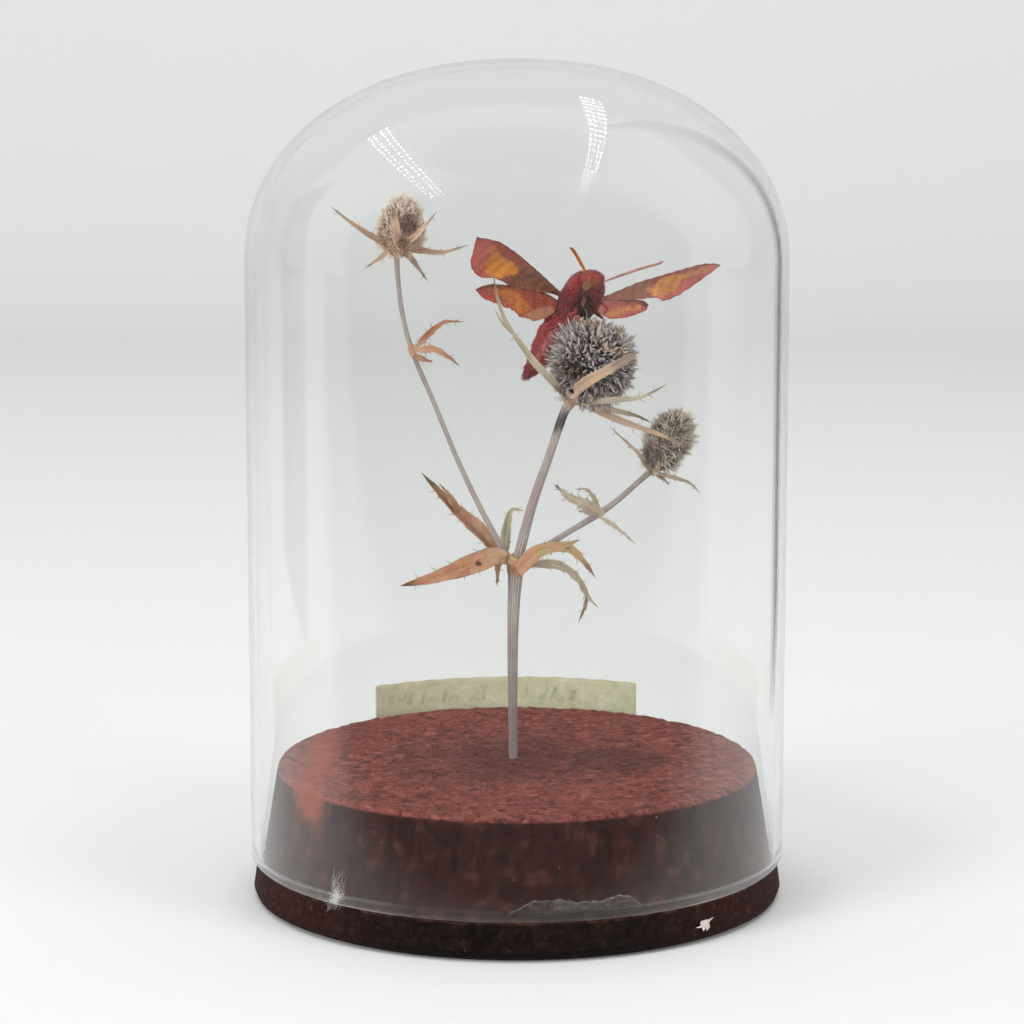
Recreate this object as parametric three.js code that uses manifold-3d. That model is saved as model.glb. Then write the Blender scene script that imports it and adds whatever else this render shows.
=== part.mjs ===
// A hawk moth resting on a dried sea holly, shown under a glass dome with a cork base.
// Millimetres, +Z up. The origin is the centre of the cork's underside, and the front faces -Y.
import * as THREE from "three";
import { mergeVertices } from "three/addons/utils/BufferGeometryUtils.js";
import Module from "manifold-3d";

// ---------------------------------------------------------------- driving dimensions

const DOME = { radius: 50, wall: 1.6, rimHeight: 7.8, shoulderHeight: 118.6, topHeight: 155.8 };
const CORK = { footRadius: 49.7, ledgeRadius: 48.9, plugRadius: 48.1, topRadius: 45.3, height: 24.65 };
const CORK_EDGE = 1.8; // the worn round of the cork's lower edge
const CORK_LIP = 0.6; // the worn round of its upper edge
const GAP = 0.3; // the clearance that touching pieces keep
const ROUND_SIDES = 56; // facets round the dome and the cork
const CAP_FULLNESS = 2.15; // the exponent of the dome top: 2 is an ellipse, more is squarer
const CAP_STEPS = 7;

const STEM_FOOT = new THREE.Vector3(-0.7, 0, CORK.height);
const STEM_DEPTH = 12; // how far the stem is set into the cork
const FORK_HEIGHT = 62.6; // where the stem divides
const STEM_RADIUS = { foot: 0.9, middle: 1.0, fork: 1.45 };

const LABEL = { fromDeg: 61, toDeg: 125, low: 9.6, high: 29.4, paper: 0.25 };

const MOTH_PLACE = new THREE.Vector3(12.6, 4.6, 113); // midway between the wing roots
const MOTH_TURN = { yaw: -148, pitch: 42, roll: -8.2 }; // degrees, about Z, then X, then Y
const WING_THICKNESS = 0.3;

// ---------------------------------------------------------------- materials

function surface(color, roughness) {
  return new THREE.MeshStandardMaterial({ color, roughness, metalness: 0 });
}

const MATERIALS = {
  cork: surface(0x5d2b24, 0.9),
  glass: new THREE.MeshStandardMaterial({
    color: 0xe8efec,
    roughness: 0.03,
    metalness: 0,
    transparent: true,
    opacity: 0.25,
  }),
  paper: surface(0xbcb893, 0.8),
  stem: surface(0x98877f, 0.7),
  dryLeaf: surface(0xa87850, 0.75),
  paleLeaf: surface(0x9b9474, 0.75),
  bract: surface(0xb08d68, 0.75),
  flower: surface(0x77706f, 0.9),
  seedHead: surface(0x8a8272, 0.9),
  mothBody: surface(0x9c4547, 0.85),
  mothWing: surface(0xb0553f, 0.8),
  antenna: surface(0xb5643f, 0.7),
  mothLeg: surface(0x6d4a3a, 0.8),
  glue: surface(0xb8aca6, 0.25),
  lint: surface(0xd8d8d4, 0.95),
};

// ---------------------------------------------------------------- helpers

const wasm = await Module();
wasm.setup();

const vec = (x, y, z) => new THREE.Vector3(x, y, z);
const rad = THREE.MathUtils.degToRad;

// Six times the volume inside a triangle list, negative when its faces point inwards.
function signedVolume(points, faces) {
  let sum = 0;
  const cross = new THREE.Vector3();
  for (let i = 0; i < faces.length; i += 3) {
    const [a, b, c] = [points[faces[i]], points[faces[i + 1]], points[faces[i + 2]]];
    sum += a.dot(cross.crossVectors(b, c));
  }
  return sum;
}

// A closed surface through rings that hold the same number of points each. A ring of one point is a tip.
function loft(rings) {
  const points = rings.flat();
  const faces = [];
  const starts = rings.map((_, i) => rings.slice(0, i).reduce((n, r) => n + r.length, 0));
  for (let i = 0; i + 1 < rings.length; i++) {
    const [a, b] = [starts[i], starts[i + 1]];
    const [na, nb] = [rings[i].length, rings[i + 1].length];
    const n = Math.max(na, nb);
    for (let k = 0; k < n; k++) {
      const next = (k + 1) % n;
      if (na > 1) faces.push(a + k, a + next, b + (nb > 1 ? next : 0));
      if (nb > 1) faces.push(a + (na > 1 ? k : 0), b + next, b + k);
    }
  }
  closeEnd(faces, starts[0], rings[0].length, true);
  closeEnd(faces, starts[rings.length - 1], rings[rings.length - 1].length, false);
  if (signedVolume(points, faces) < 0)
    for (let i = 0; i < faces.length; i += 3) [faces[i + 1], faces[i + 2]] = [faces[i + 2], faces[i + 1]];
  return new THREE.BufferGeometry()
    .setAttribute("position", new THREE.Float32BufferAttribute(points.flatMap((p) => p.toArray()), 3))
    .setIndex(faces);
}

// A fan that closes the first or the last ring of a loft.
function closeEnd(faces, start, count, first) {
  for (let k = 1; k + 1 < count; k++)
    faces.push(start, start + (first ? k + 1 : k), start + (first ? k : k + 1));
}

// Points and crosswise frames along a smooth curve, with one fixed vector to say which way the piece faces.
function stations(points, count, facing) {
  const curve = new THREE.CatmullRomCurve3(points, false, "centripetal");
  return Array.from({ length: count }, (_, i) => {
    const t = i / (count - 1);
    const along = curve.getTangent(t);
    const side = new THREE.Vector3().crossVectors(along, facing).normalize();
    const up = new THREE.Vector3().crossVectors(side, along).normalize();
    return { t, at: curve.getPoint(t), along, side, up };
  });
}

// A round rod along a curve. radiusAt gives the radius for t from 0 to 1.
function rod(points, radiusAt, sides, count, facing = vec(0, 1, 0.2)) {
  return loft(
    stations(points, count, facing).map((s) =>
      Array.from({ length: sides }, (_, k) => {
        const angle = (2 * Math.PI * k) / sides;
        return s.at
          .clone()
          .addScaledVector(s.side, radiusAt(s.t) * Math.cos(angle))
          .addScaledVector(s.up, radiusAt(s.t) * Math.sin(angle));
      }),
    ),
  );
}

// How broad a leaf is at t: from its base share, fullest at a third, down to its point.
function bladeWidth(t, base) {
  const swell = base + (1 - base) * Math.sin(Math.min(1, t / 0.35) * (Math.PI / 2));
  return swell * Math.pow(1 - t, 0.75);
}

// A leaf or bract: a thin folded blade along a curve that ends in a point.
function blade({ points, width, facing = [0, -1, 0.3], fold = 0.25, base = 0.45, thickness = 0.35, count = 7 }) {
  const places = stations(points.map((p) => vec(...p)), count, vec(...facing).normalize());
  const rings = places.slice(0, -1).map((s) => {
    const half = Math.max(0.12, (width / 2) * bladeWidth(s.t, base));
    const thick = thickness * Math.max(0.5, 1 - s.t);
    const edge = (sign) => s.at.clone().addScaledVector(s.side, sign * half).addScaledVector(s.up, half * fold);
    return [
      edge(-1),
      s.at.clone().addScaledVector(s.up, -thick / 2),
      edge(1),
      s.at.clone().addScaledVector(s.up, thick / 2),
    ];
  });
  return loft([...rings, [places[places.length - 1].at]]);
}

function asSolid(geometry) {
  const bare = geometry.clone();
  bare.deleteAttribute("normal");
  bare.deleteAttribute("uv");
  const merged = mergeVertices(bare, 1e-4);
  return new wasm.Manifold(
    new wasm.Mesh({
      numProp: 3,
      vertProperties: merged.attributes.position.array,
      triVerts: new Uint32Array(merged.index.array),
    }),
  );
}

function asGeometry(solid) {
  const mesh = solid.getMesh();
  return new THREE.BufferGeometry()
    .setAttribute("position", new THREE.BufferAttribute(new Float32Array(mesh.vertProperties), 3))
    .setIndex(new THREE.BufferAttribute(new Uint32Array(mesh.triVerts), 1));
}

// A profile of [radius, height] points turned round +Z.
function turned(profile, sides = ROUND_SIDES) {
  const points = profile.map(([r, z]) => new THREE.Vector2(r, z));
  return new THREE.LatheGeometry(points, sides).rotateX(Math.PI / 2);
}

const part = new THREE.Group();

function add(name, geometry, material, parent = part) {
  const mesh = new THREE.Mesh(geometry, MATERIALS[material]);
  mesh.name = name;
  parent.add(mesh);
  return mesh;
}

// ---------------------------------------------------------------- cork base

// A stopper of pressed cork: a foot, a narrow ledge that the dome stands on, and a tapered plug.
function corkBase() {
  const ledge = DOME.rimHeight - GAP;
  const body = turned([
    [0, 0],
    [CORK.footRadius - CORK_EDGE, 0],
    [CORK.footRadius - 0.3 * CORK_EDGE, 0.3 * CORK_EDGE],
    [CORK.footRadius, CORK_EDGE],
    [CORK.ledgeRadius, ledge],
    [CORK.plugRadius, ledge],
    [CORK.topRadius, CORK.height - CORK_LIP],
    [CORK.topRadius - CORK_LIP, CORK.height],
    [0, CORK.height],
  ]);
  const hole = new THREE.CylinderGeometry(STEM_RADIUS.foot + GAP, STEM_RADIUS.foot + GAP, 2 * STEM_DEPTH, 10);
  hole.rotateX(Math.PI / 2).translate(STEM_FOOT.x, STEM_FOOT.y, CORK.height);
  return asGeometry(asSolid(body).subtract(asSolid(hole)));
}

// ---------------------------------------------------------------- glass dome

// The dome top's curve from shoulder to crown, for a shell of the given radius and crown height.
function capCurve(radius, crown) {
  return Array.from({ length: CAP_STEPS + 1 }, (_, i) => {
    const angle = (i / CAP_STEPS) * (Math.PI / 2);
    const out = i === CAP_STEPS ? 0 : Math.pow(Math.cos(angle), 2 / CAP_FULLNESS);
    const up = Math.pow(Math.sin(angle), 2 / CAP_FULLNESS);
    return [radius * out, DOME.shoulderHeight + (crown - DOME.shoulderHeight) * up];
  });
}

// A blown shell of even wall, with a fire-polished rim that turns in a little.
function glassDome() {
  const inner = DOME.radius - DOME.wall;
  const rim = DOME.rimHeight;
  return turned([
    ...capCurve(inner, DOME.topHeight - DOME.wall).reverse(),
    [inner, rim + 0.5],
    [inner + 0.4, rim],
    [DOME.radius - 0.7, rim],
    [DOME.radius - 0.3, rim + 0.9],
    [DOME.radius, rim + 3.5],
    ...capCurve(DOME.radius, DOME.topHeight),
  ]);
}

// ---------------------------------------------------------------- label, glue, lint and flake

// A piece bent round the dome's axis: rows of [angle in degrees, low height, high height].
function bentStrip(rows, innerAt, outerAt) {
  const corner = (angle, radius, height) => vec(radius * Math.cos(angle), radius * Math.sin(angle), height);
  return loft(
    rows.map(([deg, low, high]) => {
      const angle = rad(deg);
      return [
        corner(angle, innerAt(low), low),
        corner(angle, outerAt(low), low),
        corner(angle, outerAt(high), high),
        corner(angle, innerAt(high), high),
      ];
    }),
  );
}

// A paper label pasted to the outside of the dome, at the back.
function paperLabel() {
  const steps = 10;
  const rows = Array.from({ length: steps + 1 }, (_, i) => [
    THREE.MathUtils.lerp(LABEL.fromDeg, LABEL.toDeg, i / steps),
    LABEL.low,
    LABEL.high,
  ]);
  const inside = () => DOME.radius + GAP;
  return bentStrip(rows, inside, () => inside() + LABEL.paper);
}

// Dried glue in the wedge between the cork plug and the dome, just above the rim at the front.
function glueBead() {
  const skin = 0.14; // clearance to the cork and to the glass
  const slope = (CORK.plugRadius - CORK.topRadius) / (CORK.height - CORK_LIP - DOME.rimHeight + GAP);
  const corkAt = (z) => CORK.plugRadius - slope * (z - DOME.rimHeight + GAP);
  const low = DOME.rimHeight + 1.4;
  const tops = [0.5, 1.3, 2.4, 2.0, 1.2, 2.6, 2.9, 1.6, 0.5];
  const [first, last] = [-92, -63];
  const rows = tops.map((top, i) => [first + ((last - first) * i) / (tops.length - 1), low, low + top]);
  return bentStrip(rows, (z) => corkAt(z) + skin, () => DOME.radius - DOME.wall - skin - 0.06);
}

// A tuft of white lint caught on the outside of the rim. Its fibres fill this flattened lump.
function lintTuft() {
  const lump = new THREE.IcosahedronGeometry(1, 1).scale(0.7, 3.2, 4.6);
  const angle = rad(-129);
  lump.rotateZ(angle).translate((DOME.radius + 1.1) * Math.cos(angle), (DOME.radius + 1.1) * Math.sin(angle), 9.4);
  return lump;
}

// A torn flake of paper that sticks to the cork's side below the rim.
function paperFlake() {
  const outline = [
    [-1.5, 0.3],
    [-0.7, -0.4],
    [0.1, -1.3],
    [0.5, -0.2],
    [1.7, 1.0],
    [0.2, 0.9],
    [-1.1, 0.9],
  ].map(([x, y]) => new THREE.Vector2(x, y));
  const flake = new THREE.ExtrudeGeometry(new THREE.Shape(outline), { depth: 0.2, bevelEnabled: false });
  const angle = rad(-47.5);
  const out = CORK.footRadius + GAP - 0.1;
  return flake
    .rotateX(Math.PI / 2)
    .rotateZ(angle + Math.PI / 2)
    .translate(out * Math.cos(angle), out * Math.sin(angle), 4.1);
}

// ---------------------------------------------------------------- sea holly: stems

const STEMS = {
  stem_left_branch: {
    points: [[-1.5, 0, 64.3], [-6.7, 0.5, 71.7], [-11.2, 1, 81.5], [-15.8, 1.5, 92.9], [-19, 2, 100.9],
      [-21, 3, 107.5], [-22.1, 4, 115.6], [-22.3, 4, 118.9]],
    radius: [0.7, 0.5],
  },
  stem_middle_branch: {
    points: [[0.4, 0, 64.2], [3, 0, 74.1], [5.9, -1, 82.7], [8.6, -2, 90.9], [9.3, -2.1, 92.8]],
    radius: [0.95, 0.8],
  },
  stem_right_branch: {
    points: [[2.4, 0.5, 64.3], [5, 0.2, 65.6], [9.9, 0.5, 68.5], [15.1, 1, 71.6], [18.3, 1.5, 73.8],
      [22.8, 2, 77.7], [25.4, 2, 79.8]],
    radius: [0.55, 0.5],
  },
};

// The main stem: set in the cork, straight, and swollen at the fork.
function mainStem() {
  const foot = STEM_FOOT.clone().setZ(CORK.height - STEM_DEPTH + GAP);
  const points = [foot, STEM_FOOT, vec(-0.8, 0, 36), vec(-0.8, 0, 47.4), vec(-0.6, 0, 55.1), vec(-0.1, 0, FORK_HEIGHT)];
  const radiusAt = (t) =>
    t < 0.6
      ? THREE.MathUtils.lerp(STEM_RADIUS.foot, STEM_RADIUS.middle, t / 0.6)
      : THREE.MathUtils.lerp(STEM_RADIUS.middle, STEM_RADIUS.fork, ((t - 0.6) / 0.4) ** 2);
  return rod(points, radiusAt, 8, 9);
}

function branch({ points, radius: [from, to] }) {
  const places = points.map((p) => vec(...p));
  return rod(places, (t) => THREE.MathUtils.lerp(from, to, t), 8, places.length + 4);
}

// ---------------------------------------------------------------- sea holly: leaves and bracts

// Each leaf: its midrib from base to point, its full width, the way its face looks, and its material.
const LEAVES = {
  // round the fork
  leaf_fork_upper_left: {
    points: [[-3.9, 2.0, 64.9], [-8.1, 3, 68.9], [-12, 5, 72.3], [-17.9, 6, 78.6]],
    width: 3.0, facing: [0.3, -1, 0.4], fold: 0.35, material: "dryLeaf",
  },
  leaf_fork_lower_left: {
    points: [[-3.6, -1.8, 64.6], [-8, -5, 63.4], [-16.1, -8, 61], [-21.6, -9, 59.9]],
    width: 4.4, facing: [0, -1, 0.5], fold: 0.15, base: 0.5, material: "dryLeaf",
  },
  leaf_fork_upright: {
    points: [[-2.2, 2.4, 64.3], [-2, 3, 68.5], [-0.9, 3.5, 72], [1.1, 4, 71.8]],
    width: 2.0, fold: 0.3, material: "paleLeaf",
  },
  leaf_fork_hanging: {
    points: [[-3.2, -1.5, 63.9], [-3.5, -2.5, 62.4], [-3.7, -3, 58.8]],
    width: 1.3, count: 5, material: "dryLeaf",
  },
  leaf_fork_upper_right: {
    points: [[0.9, -2.3, 62.3], [3.8, -3, 65], [9.1, -5, 66.3], [12, -6.5, 64.3], [14.4, -8, 61.3]],
    width: 2.9, facing: [0, -1, 0.6], base: 1, fold: 0.2, count: 9, material: "dryLeaf",
    lobe: { points: [[7.6, -4.6, 66.2], [9.4, -5.0, 66.9], [11.6, -5.2, 67.9]], width: 1.4 },
  },
  leaf_fork_lower_right: {
    points: [[3.3, -1.4, 62.5], [7, 0.2, 62.1], [10.1, 2, 60.3], [13, 4, 55.5], [11.7, 5, 50.3]],
    width: 2.1, facing: [0.3, -0.8, 0.6], fold: 0.3, count: 9, material: "paleLeaf",
    lobe: { points: [[12.4, 3.4, 57], [13.6, 4, 55], [15.2, 4, 53.4]], width: 1.1 },
  },
  // round the joint of the left branch
  leaf_left_joint_rising: {
    points: [[-18.4, 1.2, 103.1], [-15.8, 0, 105.9], [-13.3, 0, 107.6], [-10.0, 0, 107.7]],
    width: 1.6, material: "bract",
  },
  leaf_left_joint_falling: {
    points: [[-18.0, 1.0, 102.3], [-15.2, -1, 102.7], [-12.5, -2, 101.3], [-10.6, -3, 99.9]],
    width: 1.7, material: "bract",
  },
  leaf_left_joint_stub: {
    points: [[-18.4, 1.0, 101.1], [-17.4, 0, 100.8], [-15.6, -0.4, 100.3]],
    width: 1.2, count: 5, material: "dryLeaf",
  },
  // round the joint of the right branch
  leaf_right_joint_broad: {
    points: [[14.6, 0.2, 72.7], [12.4, -1, 73.9], [9.3, -2, 75.6], [6.8, -2, 77.8]],
    width: 2.2, material: "paleLeaf",
  },
  leaf_right_joint_thin: {
    points: [[15.2, 2.0, 72.9], [14.1, 3, 74.8], [13, 3, 75.9], [10.9, 3, 76]],
    width: 0.9, material: "paleLeaf",
  },
  leaf_right_joint_short: {
    points: [[14.3, -0.2, 71.9], [13.3, -1.2, 72.2], [11.3, -3, 72.9]],
    width: 0.9, count: 5, material: "paleLeaf",
  },
  leaf_right_joint_trailing: {
    points: [[15.9, 0.2, 70.9], [18.1, -1, 69.7], [19.7, -1.5, 68.5], [21.8, -2, 66.7]],
    width: 0.9, material: "paleLeaf",
  },
  // round the left head
  bract_left_head_long: {
    points: [[-23.3, 3.2, 118.8], [-24.9, 1.4, 120.5], [-27.3, 0, 123.4], [-30.5, -1, 126.1], [-34.1, -1, 129]],
    width: 1.1, material: "bract",
  },
  bract_left_head_front: {
    points: [[-22.2, 2.9, 118.7], [-22.2, -0.4, 120.1], [-22.2, -3.9, 124], [-22.3, -4.7, 127.5], [-22.8, -5, 130.7]],
    width: 1.6, material: "bract",
  },
  bract_left_head_right_rising: {
    points: [[-21.3, 3.1, 118.8], [-19.8, 0.4, 120.4], [-18.2, -2, 123], [-16.4, -3, 125.5], [-14.3, -3, 128.4]],
    width: 1.1, material: "bract",
  },
  bract_left_head_right: {
    points: [[-21.1, 3.9, 118.8], [-17.4, 3.2, 119.2], [-13.9, 3, 120], [-9.1, 3, 121.6]],
    width: 1.0, material: "bract",
  },
  bract_left_head_falling_right: {
    points: [[-21.4, 4.7, 118.4], [-19.4, 5.6, 117.2], [-16.7, 6.6, 114.3]],
    width: 1.1, count: 5, material: "bract",
  },
  bract_left_head_falling_left: {
    points: [[-23.1, 4.7, 118.5], [-25.4, 6, 118.2], [-28.1, 8, 116.6]],
    width: 1.0, count: 5, material: "bract",
  },
  // round the middle head
  bract_middle_head_long: {
    points: [[7.9, -3.2, 92.3], [6.4, -7.9, 95.9], [3.4, -9, 99.9], [0.3, -9.4, 104.3],
      [-2.9, -10, 110.2], [-4.4, -10, 117.2]],
    width: 1.7, facing: [0.4, -1, 0], fold: 0.35, count: 9, material: "paleLeaf",
    lobe: { points: [[-1.4, -9.6, 107.3], [-2.7, -10, 108.6], [-3.9, -10.2, 110.8]], width: 0.7 },
  },
  bract_middle_head_front: {
    points: [[9.5, -3.8, 92], [10.4, -9, 94.4], [12.6, -11.6, 97.4], [16.9, -12.8, 100.5], [21.4, -13.2, 103]],
    width: 2.5, base: 0.9, fold: 0.15, facing: [0.2, -1, 0.5], material: "bract",
  },
  bract_middle_head_right: {
    points: [[10.7, -3.2, 91.7], [13.8, -7.6, 92.4], [17.2, -10.4, 94.2], [22.5, -9.8, 95.5], [27.1, -9.4, 97]],
    width: 1.4, facing: [0, -1, 0.8], material: "paleLeaf",
  },
  bract_middle_head_lower: {
    points: [[10.7, -1.9, 91.4], [13.5, -2.6, 91.3], [18, -4, 90.1], [27, -6, 87.4], [31.5, -7, 85.5]],
    width: 1.2, count: 8, material: "paleLeaf",
  },
  bract_middle_head_back: {
    points: [[10.1, -0.8, 91.5], [13.6, 1, 91.2], [18, 3, 90.7], [22.4, 5.5, 90.1], [25.2, 8.6, 89.2]],
    width: 1.2, material: "paleLeaf",
  },
  // round the right head
  bract_right_head_rising: {
    points: [[24.6, 1, 79.9], [22.6, -1, 83.2], [20.4, -2, 85.4], [17.2, -2, 88.4]],
    width: 0.9, material: "bract",
  },
  bract_right_head_falling: {
    points: [[26.5, 2.2, 79], [30.3, 3, 77.9], [32.4, 3, 77.1], [34.1, 3, 75.4]],
    width: 0.9, material: "paleLeaf",
  },
  bract_right_head_front: {
    points: [[25.5, 0.9, 79.3], [26, -1.6, 80.1], [26.1, -3.8, 82.8]],
    width: 1.2, count: 5, material: "bract",
  },
  bract_right_head_short: {
    points: [[26, 2.9, 78.8], [27.2, 3.4, 78], [28.5, 4, 76.7]],
    width: 0.8, count: 5, material: "paleLeaf",
  },
};

function leaf(spec) {
  const main = blade(spec);
  if (!spec.lobe) return main;
  const lobe = blade({ ...spec, ...spec.lobe, base: 0.8, count: 5, thickness: 0.3 });
  return asGeometry(asSolid(main).add(asSolid(lobe)));
}

// ---------------------------------------------------------------- sea holly: flower heads

// Each head: where its base sits, the way it points, its size to the spine tips and how its spines are set.
const HEADS = {
  head_left: {
    base: [-22.2, 4.0, 119.9], toward: [0.12, -0.05, 1], length: 11.2, radius: 5.5, spine: 1.1,
    rings: 11, segments: 14, material: "seedHead",
  },
  head_middle: {
    base: [10.2, -2.3, 93.5], toward: [0.45, -0.07, 0.89], length: 16.6, radius: 8.7, spine: 1.5,
    rings: 14, segments: 20, material: "flower",
  },
  head_right: {
    base: [26.0, 2.0, 80.4], toward: [0.5, 0.02, 0.87], length: 12.2, radius: 5.3, spine: 1.0,
    rings: 11, segments: 14, material: "seedHead",
  },
};

// A closed head whose every other grid point stands out as a spine. The ovoid is fullest below its middle.
function spinyHead({ base, toward, length, radius, spine, rings, segments }) {
  const turn = new THREE.Quaternion().setFromUnitVectors(vec(0, 0, 1), vec(...toward).normalize());
  const place = (p) => p.applyQuaternion(turn).add(vec(...base));
  const rows = [[place(vec(0, 0, 0))]];
  for (let i = 1; i < rings; i++) {
    const share = i / rings;
    const polar = Math.PI * share;
    rows.push(
      Array.from({ length: segments }, (_, k) => {
        const turnAt = (2 * Math.PI * (k + 0.5 * (i % 2))) / segments;
        const out = (k + i) % 2 ? 0 : -spine;
        const around = (radius + out) * Math.sin(polar) ** 0.85;
        const height = (length / 2) * (1 - Math.cos(polar)) + out * -Math.cos(polar);
        return place(vec(around * Math.cos(turnAt), around * Math.sin(turnAt), height));
      }),
    );
  }
  rows.push([place(vec(0, 0, length))]);
  return loft(rows);
}

// ---------------------------------------------------------------- moth
// In the moth's own frame X is its right, Y runs forward along the body and Z is up from its back.

const moth = new THREE.Group();
moth.rotation.set(rad(MOTH_TURN.pitch), rad(MOTH_TURN.roll), rad(MOTH_TURN.yaw), "ZXY");
moth.position.copy(MOTH_PLACE);
part.add(moth);

// Rings of the body from face to tail: [x, y, z, half width, half height].
const BODY_RINGS = [
  [1.9, 8.0, -2.7, 0.8, 0.8],
  [1.8, 7.4, -2.5, 1.8, 1.6],
  [1.7, 6.3, -2.1, 2.4, 2.2],
  [1.5, 5.2, -1.8, 2.3, 2.2],
  [1.3, 4.1, -1.5, 3.2, 3.0],
  [1.1, 2.2, -1.3, 3.8, 3.6],
  [0.9, -0.6, -1.3, 4.0, 3.7],
  [1.0, -3.3, -1.5, 3.7, 3.4],
  [1.6, -5.2, -2.0, 3.2, 3.0],
  [2.6, -7.2, -2.8, 3.3, 3.0],
  [3.6, -9.8, -4.0, 3.2, 2.9],
  [4.5, -12.4, -5.3, 2.7, 2.5],
  [5.4, -14.7, -6.4, 1.9, 1.7],
  [6.2, -16.3, -7.2, 1.1, 1.0],
];
const BODY_FACE = [1.9, 8.4, -2.8];
const BODY_TAIL = [6.9, -17.4, -7.8];

function mothBody() {
  const sides = 12;
  const rings = BODY_RINGS.map(([x, y, z, wide, high]) =>
    Array.from({ length: sides }, (_, k) => {
      const angle = (2 * Math.PI * k) / sides;
      return vec(x + wide * Math.cos(angle), y, z + high * Math.sin(angle));
    }),
  );
  return loft([[vec(...BODY_FACE)], ...rings, [vec(...BODY_TAIL)]]);
}

// Wing outlines in the wing's own plane: x runs from root to tip, y forward. Camber bows the middle upwards.
const FOREWING = {
  front: [[0, 0], [6.8, 1.1], [13.3, 1.4], [18.7, 1.1], [23.4, -0.9]],
  back: [[0, -0.8], [3.3, -2.5], [7.9, -5.0], [12.8, -8.1], [19.1, -6.0], [23.4, -0.9]],
  root: [4.7, -0.7, 0],
  at: [3.3, 5.5, 7.9, 10.5, 12.8, 15.5, 19.1, 21.6],
  camber: 0.7,
};
const HINDWING = {
  front: [[0, 0], [8.4, 0.4], [15.4, -1.1]],
  back: [[0.3, -2.5], [3.9, -4.3], [7.7, -3.7], [12, -2.8], [15.4, -1.1]],
  root: [4.7, -1.8, -0.7],
  at: [2.2, 3.9, 5.8, 7.7, 10, 12, 14],
  camber: 0.5,
};
// Each wing's sweep forward, lift and twist, in degrees. side is 1 for the moth's right. The thorax leans to
// the right of its wings, so the right wings start further out along their length than the left ones.
const WINGS = {
  moth_right_forewing: { shape: FOREWING, side: 1, from: 0.7, sweep: 27.7, lift: 9.8, twist: -5.9 },
  moth_left_forewing: { shape: FOREWING, side: -1, from: -1.1, sweep: 20.4, lift: 9.4, twist: -1.3 },
  moth_right_hindwing: { shape: HINDWING, side: 1, from: 0.7, sweep: -15.1, lift: 17, twist: 38 },
  moth_left_hindwing: { shape: HINDWING, side: -1, from: -0.9, sweep: -21.1, lift: 20.4, twist: 60 },
};

// The height on a polyline at x.
function lineAt(points, x) {
  const i = Math.min(points.length - 2, Math.max(0, points.findIndex((p) => p[0] > x) - 1));
  const [[x0, y0], [x1, y1]] = [points[i], points[i + 1]];
  return THREE.MathUtils.clamp((x - x0) / (x1 - x0), 0, 1) * (y1 - y0) + y0;
}

function wing({ shape, side, from, sweep, lift, twist }) {
  const tip = shape.front[shape.front.length - 1];
  const rings = [from, ...shape.at].map((x) => {
    const [front, back] = [lineAt(shape.front, x), lineAt(shape.back, x)];
    const mid = 0.62 * front + 0.38 * back;
    const out = Math.max(0, x) / tip[0];
    const rise = shape.camber * (0.4 + 0.9 * Math.sin(Math.PI * out ** 0.8));
    const half = (WING_THICKNESS / 2) * (1.2 - 0.5 * out);
    return [vec(x, front, 0), vec(x, mid, rise + half), vec(x, back, 0), vec(x, mid, rise - half)];
  });
  const geometry = loft([...rings, [vec(tip[0], tip[1], 0)]]);
  const turn = new THREE.Matrix4().makeRotationFromEuler(new THREE.Euler(rad(twist), rad(-lift), rad(sweep), "ZYX"));
  geometry.applyMatrix4(turn).translate(...shape.root);
  if (side > 0) return geometry;
  return asGeometry(asSolid(geometry).mirror([1, 0, 0]));
}

// Antennae sweep forward and out, thicken past the middle and end in a small hook.
const ANTENNAE = {
  moth_right_antenna: [[3.6, 8.2, -1.8], [7.3, 11.6, -2.0], [9.4, 13.7, -1.8], [10.7, 14.8, -2.3]],
  moth_left_antenna: [[-0.2, 7.6, -2.0], [-2.0, 8.9, -2.6], [-5.3, 11.0, -3.0], [-9.7, 13.0, -2.5]],
};

function antenna(points) {
  const radiusAt = (t) => 0.16 + 0.2 * Math.sin(Math.PI * Math.min(1, t * 1.1) ** 1.4);
  return rod(points.map((p) => vec(...p)), radiusAt, 6, 7, vec(0, 0, 1));
}

// Legs run from the underside of the thorax down to the flower: hip, knee, foot for each.
const LEGS = {
  moth_right_foreleg: [[2.9, 3.0, -5.1], [4.2, 4.1, -6.6], [3.0, 3.1, -8.1]],
  moth_left_foreleg: [[-0.7, 3.0, -5.0], [-1.5, 3.0, -6.3], [-1.1, 2.2, -7.0]],
  moth_right_midleg: [[3.4, -0.4, -5.1], [4.8, -1.0, -5.6], [4.5, -1.6, -6.0]],
  moth_left_midleg: [[-1.5, -0.4, -5.1], [-2.8, -1.0, -5.8], [-2.6, -1.5, -6.1]],
  moth_right_hindleg: [[3.4, -3.4, -5.0], [7.9, -5.4, -6.4], [7.2, -5.5, -8.4]],
  moth_left_hindleg: [[-1.3, -3.4, -5.0], [-5.4, -6.4, -6.8], [-5.5, -6.8, -8.8]],
};

function leg(points) {
  return rod(points.map((p) => vec(...p)), (t) => 0.34 - 0.16 * t, 5, 6, vec(0.2, 1, 0.1));
}

// ---------------------------------------------------------------- the whole part

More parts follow.
